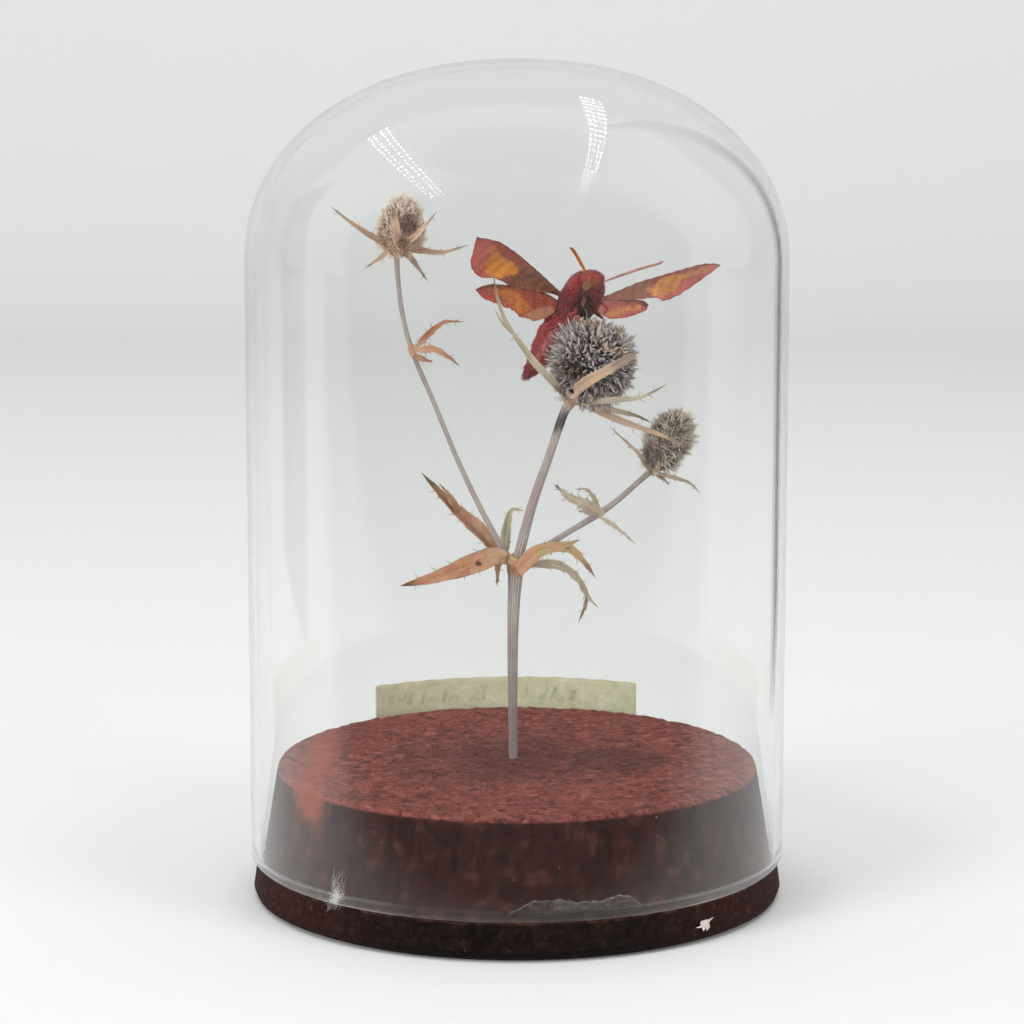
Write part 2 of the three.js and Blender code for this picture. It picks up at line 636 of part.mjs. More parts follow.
add("cork_base", corkBase(), "cork");
add("glass_dome", glassDome(), "glass");
add("paper_label", paperLabel(), "paper");
add("glue_bead", glueBead(), "glue");
add("lint_tuft", lintTuft(), "lint");
add("paper_flake", paperFlake(), "lint");
add("stem_main", mainStem(), "stem");
for (const [name, spec] of Object.entries(STEMS)) add(name, branch(spec), "stem");
for (const [name, spec] of Object.entries(LEAVES)) add(name, leaf(spec), spec.material);
for (const [name, spec] of Object.entries(HEADS)) add(name, spinyHead(spec), spec.material);
add("moth_body", mothBody(), "mothBody", moth);
for (const [name, spec] of Object.entries(WINGS)) add(name, wing(spec), "mothWing", moth);
for (const [name, points] of Object.entries(ANTENNAE)) add(name, antenna(points), "antenna", moth);
for (const [name, points] of Object.entries(LEGS)) add(name, leg(points), "mothLeg", moth);

export default part;
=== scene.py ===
# %% [markdown]
# # A hawk moth on dried sea holly, under a glass dome
# The real thing is a small cabinet piece: a stopper of pressed cork, a blown glass dome that stands on its
# ledge, a branch of sea holly stuck in the cork, and a pink moth that rests on the middle flower head.
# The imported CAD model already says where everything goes, so this lesson loads it first and then dresses
# it: each piece is a surface worked out with numpy, put in the place of its plain CAD solid.

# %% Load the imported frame
import math

import bpy
import numpy as np
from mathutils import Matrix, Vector


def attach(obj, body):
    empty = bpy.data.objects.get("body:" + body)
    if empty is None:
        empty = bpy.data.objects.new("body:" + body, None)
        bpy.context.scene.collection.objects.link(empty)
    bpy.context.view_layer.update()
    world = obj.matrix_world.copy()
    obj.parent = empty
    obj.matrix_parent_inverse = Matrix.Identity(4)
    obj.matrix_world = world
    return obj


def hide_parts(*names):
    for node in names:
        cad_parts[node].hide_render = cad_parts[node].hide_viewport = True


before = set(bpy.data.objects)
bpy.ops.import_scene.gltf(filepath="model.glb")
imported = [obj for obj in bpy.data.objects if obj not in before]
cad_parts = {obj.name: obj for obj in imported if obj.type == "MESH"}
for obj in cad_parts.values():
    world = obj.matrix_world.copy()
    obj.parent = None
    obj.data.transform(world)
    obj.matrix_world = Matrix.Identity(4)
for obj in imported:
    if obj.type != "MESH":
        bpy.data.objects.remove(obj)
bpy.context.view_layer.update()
MM = 0.001
rng = np.random.default_rng(20)

# %% [markdown]
# ## From rows of points to a closed piece
# Nearly everything here is round or leaf-like, so it can be told as rings of points: a ring at each place
# along a path. It could be modelled by hand and subdivided, but rings from formulas are exact, quick and
# easy to change. A shape is kept as a small dictionary of points, faces and "marks", which are numbers
# per point that the materials read later. A face has four corners; a triangle has -1 as its fourth.

# %% Rings, fans and joined shapes
def circle(count):
    """Angles of evenly spread points round a ring."""
    return np.linspace(0, 2 * np.pi, count, endpoint=False)


def lathe(profile, steps):
    """A profile of [radius, height] turned about the z axis."""
    a = circle(steps)
    radius, height = profile[:, :1], np.repeat(profile[:, 1:], steps, 1)
    return np.stack([radius * np.cos(a), radius * np.sin(a), height], -1)


def ring_faces(rows, cols):
    """Faces of a tube of rows rings with cols points each.

    Each joins a point, its neighbour round the ring and the two above them.
    """
    r, c = np.meshgrid(np.arange(rows - 1), np.arange(cols), indexing="ij")
    r, c = r.ravel(), c.ravel()
    n = (c + 1) % cols
    return np.stack([r * cols + c, r * cols + n, (r + 1) * cols + n, (r + 1) * cols + c], 1)


def outward(points, faces):
    """Turns all faces round when the volume under them is negative.

    The volume is the sum of a . (b x c) / 6 over the triangles.
    """
    p = points - points.mean(0)
    quad = faces[faces[:, 3] >= 0]
    volume = np.einsum("ij,ij->", p[faces[:, 0]], np.cross(p[faces[:, 1]], p[faces[:, 2]]))
    volume += np.einsum("ij,ij->", p[quad[:, 0]], np.cross(p[quad[:, 2]], p[quad[:, 3]]))
    return faces if volume > 0 else faces[:, [2, 1, 0, 3]]


def skin(rings, tips=None, **marks):
    """Closes rings (rows x cols x 3) with a fan at each end, to a tip or to the middle of the end ring.

    Each mark is rows x cols.
    """
    rows, cols, _ = rings.shape
    tips = (rings[0].mean(0), rings[-1].mean(0)) if tips is None else tips
    points = np.vstack([rings.reshape(-1, 3), tips])
    at = np.arange(cols)
    after, end, none = (at + 1) % cols, (rows - 1) * cols, np.full(cols, -1)
    first = np.stack([after, at, none + 1 + rows * cols, none], 1)
    last = np.stack([end + at, end + after, none + 2 + rows * cols, none], 1)
    full = {}
    for k, v in marks.items():
        full[k] = np.append(np.broadcast_to(v, (rows, cols)).ravel(), [np.mean(v[0]), np.mean(v[-1])])
    return {"points": points, "faces": outward(points, np.vstack([ring_faces(rows, cols), first, last])),
        "marks": full}


def copies(shape, at, axes, size, **marks):
    """One small shape at every place, scaled and moved.

    Its x, y and z follow that place's three axes (places x 3 x 3). A mark holds one number per place.
    """
    n, k = len(at), len(shape["points"])
    size = np.asarray(size, float).reshape(n, 1, -1)
    points = at[:, None] + np.einsum("nkj,nji->nki", shape["points"] * size, axes)
    faces = np.where(shape["faces"] < 0, -1, shape["faces"] + k * np.arange(n)[:, None, None])
    full = {m: np.tile(v, n) for m, v in shape["marks"].items()}
    full.update({m: np.repeat(v, k) for m, v in marks.items()})
    return {"points": points.reshape(-1, 3), "faces": faces.reshape(-1, 4), "marks": full}


def joined(*shapes):
    """Several closed shapes as one. A mark that a shape lacks is 0 there."""
    starts = np.cumsum([0] + [len(s["points"]) for s in shapes])
    faces = [np.where(s["faces"] < 0, -1, s["faces"] + start) for s, start in zip(shapes, starts)]
    marks = {}
    for m in sorted({m for s in shapes for m in s["marks"]}):
        marks[m] = np.concatenate([s["marks"].get(m, np.zeros(len(s["points"]))) for s in shapes])
    return {"points": np.vstack([s["points"] for s in shapes]), "faces": np.vstack(faces), "marks": marks}


def placed(name, data):
    """A new object in the scene."""
    made = bpy.data.objects.new(name, data)
    bpy.context.scene.collection.objects.link(made)
    return made


def put(name, shape, finish, stands_for):
    """Makes the mesh from whole arrays, in metres, with its marks, and hides the CAD parts that it stands
    for.
    """
    faces, used = shape["faces"], shape["faces"] >= 0
    counts = used.sum(1)
    mesh = bpy.data.meshes.new(name)
    mesh.vertices.add(len(shape["points"]))
    mesh.vertices.foreach_set("co", (shape["points"] * MM).astype(np.float32).ravel())
    mesh.loops.add(int(counts.sum()))
    mesh.loops.foreach_set("vertex_index", faces[used].astype(np.int32))
    mesh.polygons.add(len(faces))
    mesh.polygons.foreach_set("loop_start", (np.cumsum(counts) - counts).astype(np.int32))
    mesh.polygons.foreach_set("use_smooth", np.full(len(faces), True))
    mesh.update(calc_edges=True)
    for mark, values in shape["marks"].items():
        mesh.attributes.new(mark, "FLOAT", "POINT").data.foreach_set("value", values.astype(np.float32))
    mesh.materials.append(finish)
    piece = placed(name, mesh)
    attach(piece, "root")
    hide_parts(*stands_for)


# %% [markdown]
# ## A smooth path
# Stems, leaves, legs and antennae all follow a curve through a few points. A Bezier curve object could do
# it, but then the cross-section can't change freely along it. So the curve is worked out here, as a
# centripetal Catmull-Rom spline, with two crosswise directions at each place.

# %% Curves and the frames along them
def curve_at(points, t):
    """A smooth curve through the points: a cubic between each pair.

    Its end slopes are set by the square roots of the distances to the neighbours.
    """
    p = np.array(points, float)
    p = np.vstack([2 * p[0] - p[1], p, 2 * p[-1] - p[-2]])
    place = np.clip(t, 0, 1) * (len(p) - 3)
    i = np.minimum(place.astype(int), len(p) - 4)
    w = (place - i)[:, None]
    a, b, c, d = p[i], p[i + 1], p[i + 2], p[i + 3]
    ab, bc, cd = (np.sqrt(np.linalg.norm(v - u, axis=1))[:, None] for u, v in ((a, b), (b, c), (c, d)))
    s1 = bc * ((b - a) / ab - (c - a) / (ab + bc) + (c - b) / bc)
    s2 = bc * ((c - b) / bc - (d - b) / (bc + cd) + (d - c) / cd)
    return b + s1 * w + (3 * (c - b) - 2 * s1 - s2) * w**2 + (2 * (b - c) + s1 + s2) * w**3


def unit(v):
    """Each vector over its own length."""
    return v / np.maximum(np.linalg.norm(v, axis=-1, keepdims=True), 1e-9)


def by_run(points, share):
    """The curve's own parameter at shares of its length, so that equal steps are equal distances."""
    t = np.linspace(0, 1, 400)
    run = np.append(0, np.cumsum(np.linalg.norm(np.diff(curve_at(points, t), axis=0), axis=1)))
    return np.interp(share * run[-1], run, t), run[-1]


def stations(points, t, facing):
    """Places on the curve, the direction along it, the one across it, and the one that looks to facing."""
    at = curve_at(points, t)
    along = unit(curve_at(points, t + 1e-3) - curve_at(points, t - 1e-3) + 1e-12)
    near_end = t > 0.999
    along[near_end] = unit(curve_at(points, t[near_end]) - curve_at(points, t[near_end] - 2e-3))
    side = unit(np.cross(along, np.array(facing, float)))
    return at, along, side, np.cross(side, along)


def tube(points, radius, sides=16, rows=60, facing=(0, 1, 0.2), **marks):
    """A round rod along a curve.

    radius is a function of t (down the rows) and of the angle (round the ring), in mm.
    """
    t, angle = np.meshgrid(np.linspace(0, 1, rows), circle(sides), indexing="ij")
    at, _, side, up = stations(points, t[:, 0], facing)
    r = radius(t, angle)[..., None]
    rings = at[:, None] + r * (np.cos(angle)[..., None] * side[:, None] + np.sin(angle)[..., None]
        * up[:, None])
    return skin(rings, (at[0], at[-1]), along=t, **{k: f(t, angle) for k, f in marks.items()})


# %% [markdown]
# ## Short words for node trees
# A material is a graph of small nodes. Writing out every link hides what it does, so short helpers
# add a node, do arithmetic, measure a distance or lay colours over one another, and each returns a socket
# that the next one takes.

# %% Node helpers
def node(tree, kind, inputs=None, out=0, **settings):
    """Adds a shader node, fills its inputs with links or values, and returns one of its outputs."""
    n = tree.nodes.new("ShaderNode" + kind)
    for key, value in settings.items():
        setattr(n, key, value)
    for key, value in (inputs or {}).items():
        if isinstance(value, bpy.types.NodeSocket):
            tree.links.new(value, n.inputs[key])
        else:
            n.inputs[key].default_value = value
    return n.outputs[out]


def calc(tree, op, a, b=0.0, c=0.0, clamp=False):
    return node(tree, "Math", {0: a, 1: b, 2: c}, operation=op, use_clamp=clamp)


def times(tree, a, b, clamp=False):
    return calc(tree, "MULTIPLY", a, b, clamp=clamp)


def plus(tree, a, factor, b, clamp=False):
    """a * factor + b."""
    return calc(tree, "MULTIPLY_ADD", a, factor, b, clamp)


def size_of(tree, value):
    return calc(tree, "ABSOLUTE", value)


def coordinate(tree, vector, axis):
    """The x, y or z of a vector, as axis 0, 1 or 2."""
    return node(tree, "SeparateXYZ", {0: vector}, out=axis)


def distance(tree, vector, spot):
    return node(tree, "VectorMath", {0: vector, 1: spot}, out=1, operation="DISTANCE")


def blended(tree, share, a, b):
    return node(tree, "Mix", {0: share, 6: a, 7: b}, out=2, data_type="RGBA", blend_type="MIX")


def layered(tree, colour, *layers):
    """Colours laid over a first one, in turn. Each layer is its share and its colour."""
    for share, over in layers:
        colour = blended(tree, share, colour, over)
    return colour


def between(tree, value, low, high, out_low=0.0, out_high=1.0):
    """A smooth step from out_low at low to out_high at high."""
    return node(tree, "MapRange", {0: value, 1: low, 2: high, 3: out_low, 4: out_high},
        interpolation_type="SMOOTHSTEP")


def grain(tree, vector, scale, detail=4.0, rough=0.55, stretch=None, warp=0.0):
    """Noise of so many patches per metre of the vector, optionally stretched along its axes."""
    if stretch:
        vector = node(tree, "Mapping", {"Vector": vector, "Scale": stretch})
    return node(tree, "TexNoise", {"Vector": vector, "Scale": scale, "Detail": detail, "Roughness": rough,
        "Distortion": warp})


def mark(tree, name):
    return node(tree, "Attribute", out=2, attribute_name=name)


def place(tree):
    return node(tree, "TexCoord", out=3)


def tone(red, green, blue):
    """A colour as a paint chart gives it, 0 to 255, turned into the linear light that shaders use."""
    c = np.array([red, green, blue]) / 255
    return (*np.where(c < 0.04045, c / 12.92, ((c + 0.055) / 1.055) ** 2.4).tolist(), 1.0)


def shaded(name, rough, gloss=0.5, **constants):
    """A material with one Principled shader, its tree and the shader.

    Plain values are set on the shader's own sockets.
    """
    material = bpy.data.materials.new(name)
    material.use_nodes = True
    tree = material.node_tree
    shader = tree.nodes["Principled BSDF"]
    shader.inputs["Roughness"].default_value = rough
    shader.inputs["Specular IOR Level"].default_value = gloss
    for key, value in constants.items():
        shader.inputs[key.replace("_", " ")].default_value = value
    return material, tree, shader


def wire(tree, shader, **sockets):
    for key, value in sockets.items():
        tree.links.new(value, shader.inputs[key.replace("_", " ")])


def bumped(tree, height, distance, strength=1.0):
    """A normal from a height of 0 to 1 that stands for distance in mm."""
    return node(tree, "Bump", {"Strength": strength, "Distance": distance * MM, "Height": height})


# %% [markdown]
# ## Effects that several finishes share
# Mottling, settled dust and dry plant tissue turn up on several pieces. Each is built once as a node group
# with named inputs, and every material gives it its own colours. A group hands out colours and masks only,
# and the Principled shader stays in the material, where an exporter can read it.

# %% Node groups
def group(name, inputs, outputs):
    """An empty node group with the named sockets: its tree, its inputs by name and the output node."""
    tree = bpy.data.node_groups.new(name, "ShaderNodeTree")
    for title, kind, default in inputs:
        socket = tree.interface.new_socket(title, in_out="INPUT", socket_type="NodeSocket" + kind)
        if default is not None:
            socket.default_value = default
    for title, kind in outputs:
        tree.interface.new_socket(title, in_out="OUTPUT", socket_type="NodeSocket" + kind)
    source, sink = tree.nodes.new("NodeGroupInput"), tree.nodes.new("NodeGroupOutput")
    return tree, source.outputs, sink


def use(tree, name, inputs):
    """Places a group in a material, with links or values, and returns its outputs."""
    n = tree.nodes.new("ShaderNodeGroup")
    n.node_tree = bpy.data.node_groups[name]
    for key, value in inputs.items():
        if isinstance(value, bpy.types.NodeSocket):
            tree.links.new(value, n.inputs[key])
        else:
            n.inputs[key].default_value = value
    return n.outputs


# Mottling: three colours shared out by two sizes of noise.
t, i, o = group(
    "Mottling",
    [("Vector", "Vector", None), ("Scale", "Float", 400.0), ("Dark", "Color", None),
        ("Middle", "Color", None), ("Light", "Color", None), ("Spread", "Float", 0.12)],
    [("Color", "Color"), ("Height", "Float")],
)
coarse = grain(t, i["Vector"], i["Scale"], 5.0, 0.6)
fine = grain(t, i["Vector"], times(t, i["Scale"], 3.7), 3.0, 0.6)
both = plus(t, fine, 0.4, times(t, coarse, 0.6))
low, high = calc(t, "SUBTRACT", 0.5, i["Spread"]), calc(t, "ADD", 0.5, i["Spread"])
darker = blended(t, between(t, both, low, 0.5), i["Dark"], i["Middle"])
t.links.new(blended(t, between(t, both, 0.5, high), darker, i["Light"]), o.inputs["Color"])
t.links.new(both, o.inputs["Height"])

# Dust: a pale bloom that settles where the surface looks up, broken up by noise.
t, i, o = group(
    "Settled dust",
    [("Vector", "Vector", None), ("Normal", "Vector", None), ("Color", "Color", None),
        ("Dust", "Color", None), ("Amount", "Float", 0.3), ("Scale", "Float", 900.0)],
    [("Color", "Color"), ("Mask", "Float")],
)
up = between(t, coordinate(t, i["Normal"], 2), -0.1, 0.9)
specks = between(t, grain(t, i["Vector"], i["Scale"], 6.0, 0.7), 0.42, 0.68)
mask = times(t, times(t, up, specks), i["Amount"], clamp=True)
t.links.new(blended(t, mask, i["Color"], i["Dust"]), o.inputs["Color"])
t.links.new(mask, o.inputs["Mask"])

# Dry tissue: a leaf's body with its pale midrib and margins, darker tip, long fibres and brown blotches.
t, i, o = group(
    "Dry tissue",
    [("Vector", "Vector", None), ("Along", "Float", 0.0), ("Across", "Float", 0.0), ("Body", "Color", None),
     ("Second", "Color", None), ("Rib", "Color", None), ("Tip", "Color", None), ("Tip start", "Float", 0.8),
     ("Rib width", "Float", 0.1), ("Margin", "Float", 0.8)],
    [("Color", "Color"), ("Height", "Float")],
)
edge = size_of(t, i["Across"])
patches = grain(t, i["Vector"], 260.0, 5.0, 0.6)
body = blended(t, between(t, patches, 0.4, 0.6), i["Body"], i["Second"])
fibre_at = node(t, "CombineXYZ", {0: times(t, i["Along"], 6.0),
    1: times(t, calc(t, "SUBTRACT", edge, times(t, i["Along"], 1.4)), 16.0), 2: i["Across"]})
fibres = grain(t, fibre_at, 1.0, 3.0, 0.6)
body = blended(t, between(t, fibres, 0.5, 0.72, 0.0, 0.45), body, i["Rib"])
tipped = blended(t, between(t, plus(t, patches, 0.3, calc(t, "SUBTRACT", i["Along"], 0.15)), i["Tip start"],
    calc(t, "ADD", i["Tip start"], 0.15)), body, i["Tip"])
rib = between(t, edge, 0.0, i["Rib width"], 1.0, 0.0)
margin = between(t, edge, i["Margin"], 1.0)
pale = calc(t, "MAXIMUM", times(t, rib, 0.8), times(t, margin, 0.85), clamp=True)
blotch = between(t, grain(t, i["Vector"], 620.0, 3.0, 0.5), 0.66, 0.74, 0.0, 0.55)
spotted = blended(t, blotch, blended(t, pale, tipped, i["Rib"]), tone(95, 62, 45))
t.links.new(spotted, o.inputs["Color"])
t.links.new(plus(t, fibres, 0.5, plus(t, rib, 0.5, times(t, patches, 0.3))), o.inputs["Height"])


def mottled(tree, vector, scale, dark, middle, light, spread):
    """The outputs of the mottling group, for three colours from 0 to 255."""
    colours = {"Dark": tone(*dark), "Middle": tone(*middle), "Light": tone(*light)}
    return use(tree, "Mottling", {"Vector": vector, "Scale": scale, "Spread": spread, **colours})


def dusted(tree, vector, colour, dust, amount, scale):
    """The colour with dust settled on it."""
    normal = node(tree, "NewGeometry", out=1)
    colours = {"Color": colour, "Dust": tone(*dust)}
    return use(tree, "Settled dust", {"Vector": vector, "Normal": normal, **colours, "Amount": amount,
        "Scale": scale})["Color"]


print("node groups:", [g.name for g in bpy.data.node_groups])

# %% [markdown]
# ## The cork stopper
# The base is pressed cork: brown-red crumbs glued under heat, then stained. Boolean-cut crumbs would be
# heavy, and a bump map alone keeps a perfect outline. So the turned profile is a fine grid, and the crumbs
# push its points in by up to a third of a millimetre, or more where the top's edge has crumbled. The top
# stands 0.7 mm above the CAD's, under the dome.

# %% Cork shape
CORK_TOP = 25.35


def crumbs(points, size, seed):
    """Rounded cells: one minus the distance, in cells, to the nearest of a jittered lattice of centres."""
    cell = np.floor(points / size).astype(np.int64)
    best = np.full(len(points), 9.0)
    for shift in np.ndindex(3, 3, 3):
        c = cell + np.array(shift) - 1
        h = (c[:, 0] * 73856093) ^ (c[:, 1] * 19349663) ^ (c[:, 2] * 83492791) ^ seed
        jitter = np.stack([((h * k) % 9973) / 9973.0 for k in (7919, 6271, 5417)], 1)
        best = np.minimum(best, np.linalg.norm(points / size - c - jitter, axis=1))
    return np.clip(1 - best, 0, 1)


def cork_outline():
    """The stopper's profile, [radius, height]: foot, ledge for the dome, tapered plug, top."""
    corners = [(0, 0), (47.9, 0), (49.2, 0.55), (49.7, 1.8), (48.95, 6.95), (48.1, 7.0), (45.1, 24.5),
        (44.85, 25.1), (44.3, CORK_TOP), (0, CORK_TOP)]
    steps = [30, 3, 3, 14, 3, 30, 3, 4, 96]
    return np.vstack([np.linspace(a, b, n, endpoint=False) for a, b, n in zip(corners[:-1], corners[1:],
        steps)] + [[corners[-1]]])


outline = cork_outline()[1:-1]
rings = lathe(outline, 540)
flat = rings.reshape(-1, 3)
slope = unit(np.gradient(outline, axis=0))
normal = lathe(slope[:, ::-1] * [1, -1], 540).reshape(-1, 3)
relief = 0.55 * crumbs(flat, 1.7, 5) + 0.45 * crumbs(flat * [1, 1, 1.3], 0.9, 8)
on_top = np.clip((flat[:, 2] - 24.6) / 0.6, 0, 1)
top_edge = np.exp(-((flat[:, 2] - 25.1) ** 2) / 0.5) * (np.hypot(flat[:, 0], flat[:, 1]) > 43.5)
depth = 0.14 + (0.5 - relief) * (0.02 + 0.4 * on_top) + 0.5 * top_edge * np.clip(0.8 - 1.6 * crumbs(flat, 1.6,
    3), 0, 1)
flat = flat - normal * np.clip(depth, 0.02, 1.0)[:, None]
flat[:, 2] = np.clip(flat[:, 2], 0, CORK_TOP)
cork_shape = skin(flat.reshape(rings.shape), ((0, 0, 0), (0, 0, 25.3)), crumb=relief.reshape(rings.shape[:2]))
print("cork grid:", rings.shape[:2])

# %% [markdown]
# Its finish is stained: rusty crumbs on top, a greyer and darker side, and a foot nearly black. The side's
# darkness is partly painted shade, for a face that the light from above misses, and the foot's is partly
# varnish and partly painted shade, darkest in the middle and redder towards the left and right. The top is
# darker round the stem, fading towards its rim, and in a cloud to the right. Voronoi cells give each crumb
# its own colour, as real granules have, and noise adds dark pores, pale chips and one orange stain at the
# left.

# %% Cork finish
dark_middle_spot, dark_cloud_spot = (-0.003, -0.001, 0.0253), (0.0175, -0.001, 0.0253)
cork, t, shader = shaded("stained_cork", 0.86, gloss=0.25)
here = place(t)
warped = node(t, "VectorMath",
    {0: here, 1: node(t, "VectorMath", {0: node(t, "TexNoise", {"Vector": here, "Scale": 900.0}, out=1),
    1: (0.0016,) * 3}, operation="MULTIPLY")}, operation="ADD")
pick = node(t, "SeparateColor", {0: node(t, "TexVoronoi", {"Vector": warped, "Scale": 620.0}, out=1)}, out=0)
pick2 = node(t, "SeparateColor", {0: node(t, "TexVoronoi", {"Vector": warped, "Scale": 1500.0}, out=1)},
    out=1)
crack = node(t, "TexVoronoi", {"Vector": warped, "Scale": 620.0}, out=0, feature="DISTANCE_TO_EDGE")
ramp = t.nodes.new("ShaderNodeValToRGB")
for at, colour in ((0.0, tone(60, 28, 26)), (0.28, tone(108, 54, 48)), (0.5, tone(126, 66, 58)),
    (0.72, tone(138, 75, 66)), (1.0, tone(166, 98, 84))):
    stop = ramp.color_ramp.elements.new(at) if at not in (0.0, 1.0) else ramp.color_ramp.elements[0
        if at == 0.0 else -1]
    stop.position, stop.color = at, colour
t.links.new(plus(t, pick2, 0.42, times(t, pick, 0.58)), ramp.inputs[0])
z = coordinate(t, here, 2)
broad = grain(t, here, 60.0, 4.0, 0.6)
# The top is darker round the stem, fading towards its rim, and in a cloud to the right.
darker_middle = between(t, plus(t, broad, 0.05, distance(t, here, dark_middle_spot)), 0.03, 0.052, 0.55, 0.0)
cloud = between(t, plus(t, broad, 0.02, distance(t, here, dark_cloud_spot)), 0.016, 0.022, 0.6, 0.0)
top = blended(t, calc(t, "MAXIMUM", darker_middle, cloud), ramp.outputs[0], tone(64, 40, 42))
top = layered(
    t, top,
    (between(t, crack, 0.0, 0.09, 0.45, 0.0), tone(44, 22, 21)),
    (between(t, grain(t, here, 2100.0, 3.0, 0.6), 0.33, 0.42, 0.85, 0.0), tone(30, 15, 15)),
)
# Partly the smooth cork's own colour, partly painted shade: the side is far darker than the top, as a face
# that the light from above misses.
side_with_painted_shade = blended(t, between(t, grain(t, here, 420.0, 5.0, 0.6, (1, 1, 0.25)), 0.35, 0.7),
    tone(34, 15, 14), tone(50, 24, 22))
side_with_painted_shade = blended(t, between(t, grain(t, here, 240.0, 4.0, 0.6), 0.5, 0.7, 0.0, 0.3), side_with_painted_shade,
    tone(112, 66, 58))
colour = blended(t, between(t, z, 0.0247, 0.0240), top, side_with_painted_shade)
# Varnish and painted shade: below the ledge the foot is nearly black, darkest in the middle and redder
# towards the left and right.
foot = between(t, z, 0.0072, 0.0066)
ends = between(t, size_of(t, coordinate(t, here, 0)), 0.018, 0.042)
flecks = between(t, grain(t, here, 800.0, 5.0, 0.7), 0.52, 0.72)
colour = blended(t, foot, colour, blended(t, flecks, blended(t, ends, tone(12, 6, 5), tone(32, 12, 10)),
    blended(t, ends, tone(30, 13, 11), tone(74, 28, 24))))
x, y = (coordinate(t, here, k) for k in (0, 1))
ragged = grain(t, here, 230.0, 5.0, 0.65)
across = size_of(t, calc(t, "ADD", plus(t, ragged, 0.006, x), 0.0342))
stain = times(t, between(t, across, 0.0042, 0.001, 0.0, 0.8),
    times(t, between(t, plus(t, ragged, 0.006, z), 0.0215, 0.0255), between(t, y, 0.027, 0.015)))
colour = blended(t, stain, colour, blended(t, 0.3, tone(150, 66, 34), ramp.outputs[0]))
chips = between(t, grain(t, here, 1700.0, 2.0, 0.5), 0.765, 0.785)
colour = blended(t, times(t, chips, between(t, z, 0.0070, 0.0247, 0.3, 0.9)), colour, tone(222, 190, 168))
dusty = dusted(t, here, colour, (176, 128, 112), 0.16, 420.0)
height = times(t, plus(t, pick2, 0.4, plus(t, pick, 0.3, times(t, grain(t, here, 2400.0, 4.0, 0.65), 0.6))),
    between(t, z, 0.0240, 0.0249, 0.05, 1.0))
wire(t, shader, Base_Color=dusty, Normal=bumped(t, height, 0.25, 0.9),
    Roughness=between(t, times(t, flecks, foot), 0.0, 1.0, 0.86, 0.6))
put("cork_stopper", cork_shape, cork, ["cork_base"])

# %% [markdown]
# ## The glass dome
# A blown shell 1.6 mm thick: straight sides, a full round crown and a polished rim. A single surface
# could be called glass, but then nothing bends at the edges. With both walls modelled, the dark and light
# lines at the outline come by themselves. Its profile turned in 256 steps stays round up close.

# %% Dome shape
OUTER, INNER, SHOULDER, OUTER_CROWN, INNER_CROWN, FULLNESS = 50.0, 48.4, 118.6, 155.8, 154.2, 2.15


def cap(radius, crown, steps=44):
    """From shoulder to crown: radius * cos(a)^(2/fullness) outwards and sin(a)^(2/fullness) upwards."""
    a = np.linspace(0, np.pi / 2, steps)
    out, rise = np.cos(a) ** (2 / FULLNESS), np.sin(a) ** (2 / FULLNESS)
    out[-1] = 0
    return np.stack([radius * out, SHOULDER + (crown - SHOULDER) * rise], 1)


outside, inside = cap(OUTER, OUTER_CROWN), cap(INNER, INNER_CROWN)
walls = np.linspace(SHOULDER, 12.5, 40)[1:]
rim = [(50.0, 11.6), (49.96, 10.2), (49.98, 9.3), (50.0, 8.6), (49.9, 8.0), (49.7, 7.6), (49.35, 7.35),
    (48.95, 7.3), (48.6, 7.45), (48.42, 7.9), (48.36, 8.6), (48.4, 9.6), (48.4, 11.3)]
profile = np.vstack([outside[::-1][1:], np.stack([np.full(39, OUTER), walls], 1), rim,
    np.stack([np.full(39, INNER), walls[::-1]], 1), inside[:-1]])
dome_shape = skin(lathe(profile, 256), ((0, 0, OUTER_CROWN), (0, 0, INNER_CROWN)))

# %% [markdown]
# The finish is a Principled shader at full transmission. Lamps can't shine through such glass without
# noisy caustics, so for shadow rays it is mixed with a Transparent shader: the moth inside stays lit. A
# trace of grime makes a few patches less clear.

# %% Dome finish
glass, t, shader = shaded("blown_glass", 0.0, IOR=1.47, Transmission_Weight=1.0, Sheen_Roughness=0.6)
smears = between(t, grain(t, place(t), 38.0, 6.0, 0.65), 0.62, 0.8, 0.0, 0.035)
height = coordinate(t, place(t), 2)
# Painted highlight: sheen on the lip band and on two thin lines at the rim stands in for light bent through
# the thick rim. It is stronger to the left and right than in the middle front, and the lip is a little
# rougher.
highlight_side_weight = times(t, between(t, grain(t, place(t), 90.0, 4.0, 0.6), 0.35, 0.65, 0.6, 1.0),
    between(t, size_of(t, coordinate(t, place(t), 0)), 0.014, 0.034, 0.3, 1.0))
lip_highlight_band = times(t, between(t, height, 0.0094, 0.0091), highlight_side_weight)
rim_highlight_lines = calc(t, "MAXIMUM", between(t, height, 0.00765, 0.0075),
    times(t, between(t, size_of(t, calc(t, "SUBTRACT", height, 0.0092)), 0.00026, 0.00008), 0.9))
wire(t, shader, Sheen_Weight=calc(t, "MAXIMUM", times(t, lip_highlight_band, 0.3), times(t, rim_highlight_lines, highlight_side_weight)),
    Roughness=calc(t, "MAXIMUM", smears, times(t, lip_highlight_band, 0.18)),
    Base_Color=blended(t, between(t, grain(t, place(t), 12.0), 0.4, 0.7), (0.985, 0.992, 0.99, 1),
    (0.975, 0.985, 0.982, 1)))
clear = node(t, "BsdfTransparent", {"Color": (0.97, 0.985, 0.98, 1)})
t.links.new(node(t, "MixShader", {0: node(t, "LightPath", out=1), 1: shader.outputs[0], 2: clear}),
    t.nodes["Material Output"].inputs["Surface"])
put("blown_dome", dome_shape, glass, ["glass_dome"])

# %% [markdown]
# ## Label, glue, lint and a flake
# A paper label is pasted to the back of the dome. It is a bent sheet with a thickness, and its edges
# waver a little, because it was cut by hand. What was written on it has faded to slanted grey strokes,
# which read as pen work but spell nothing.

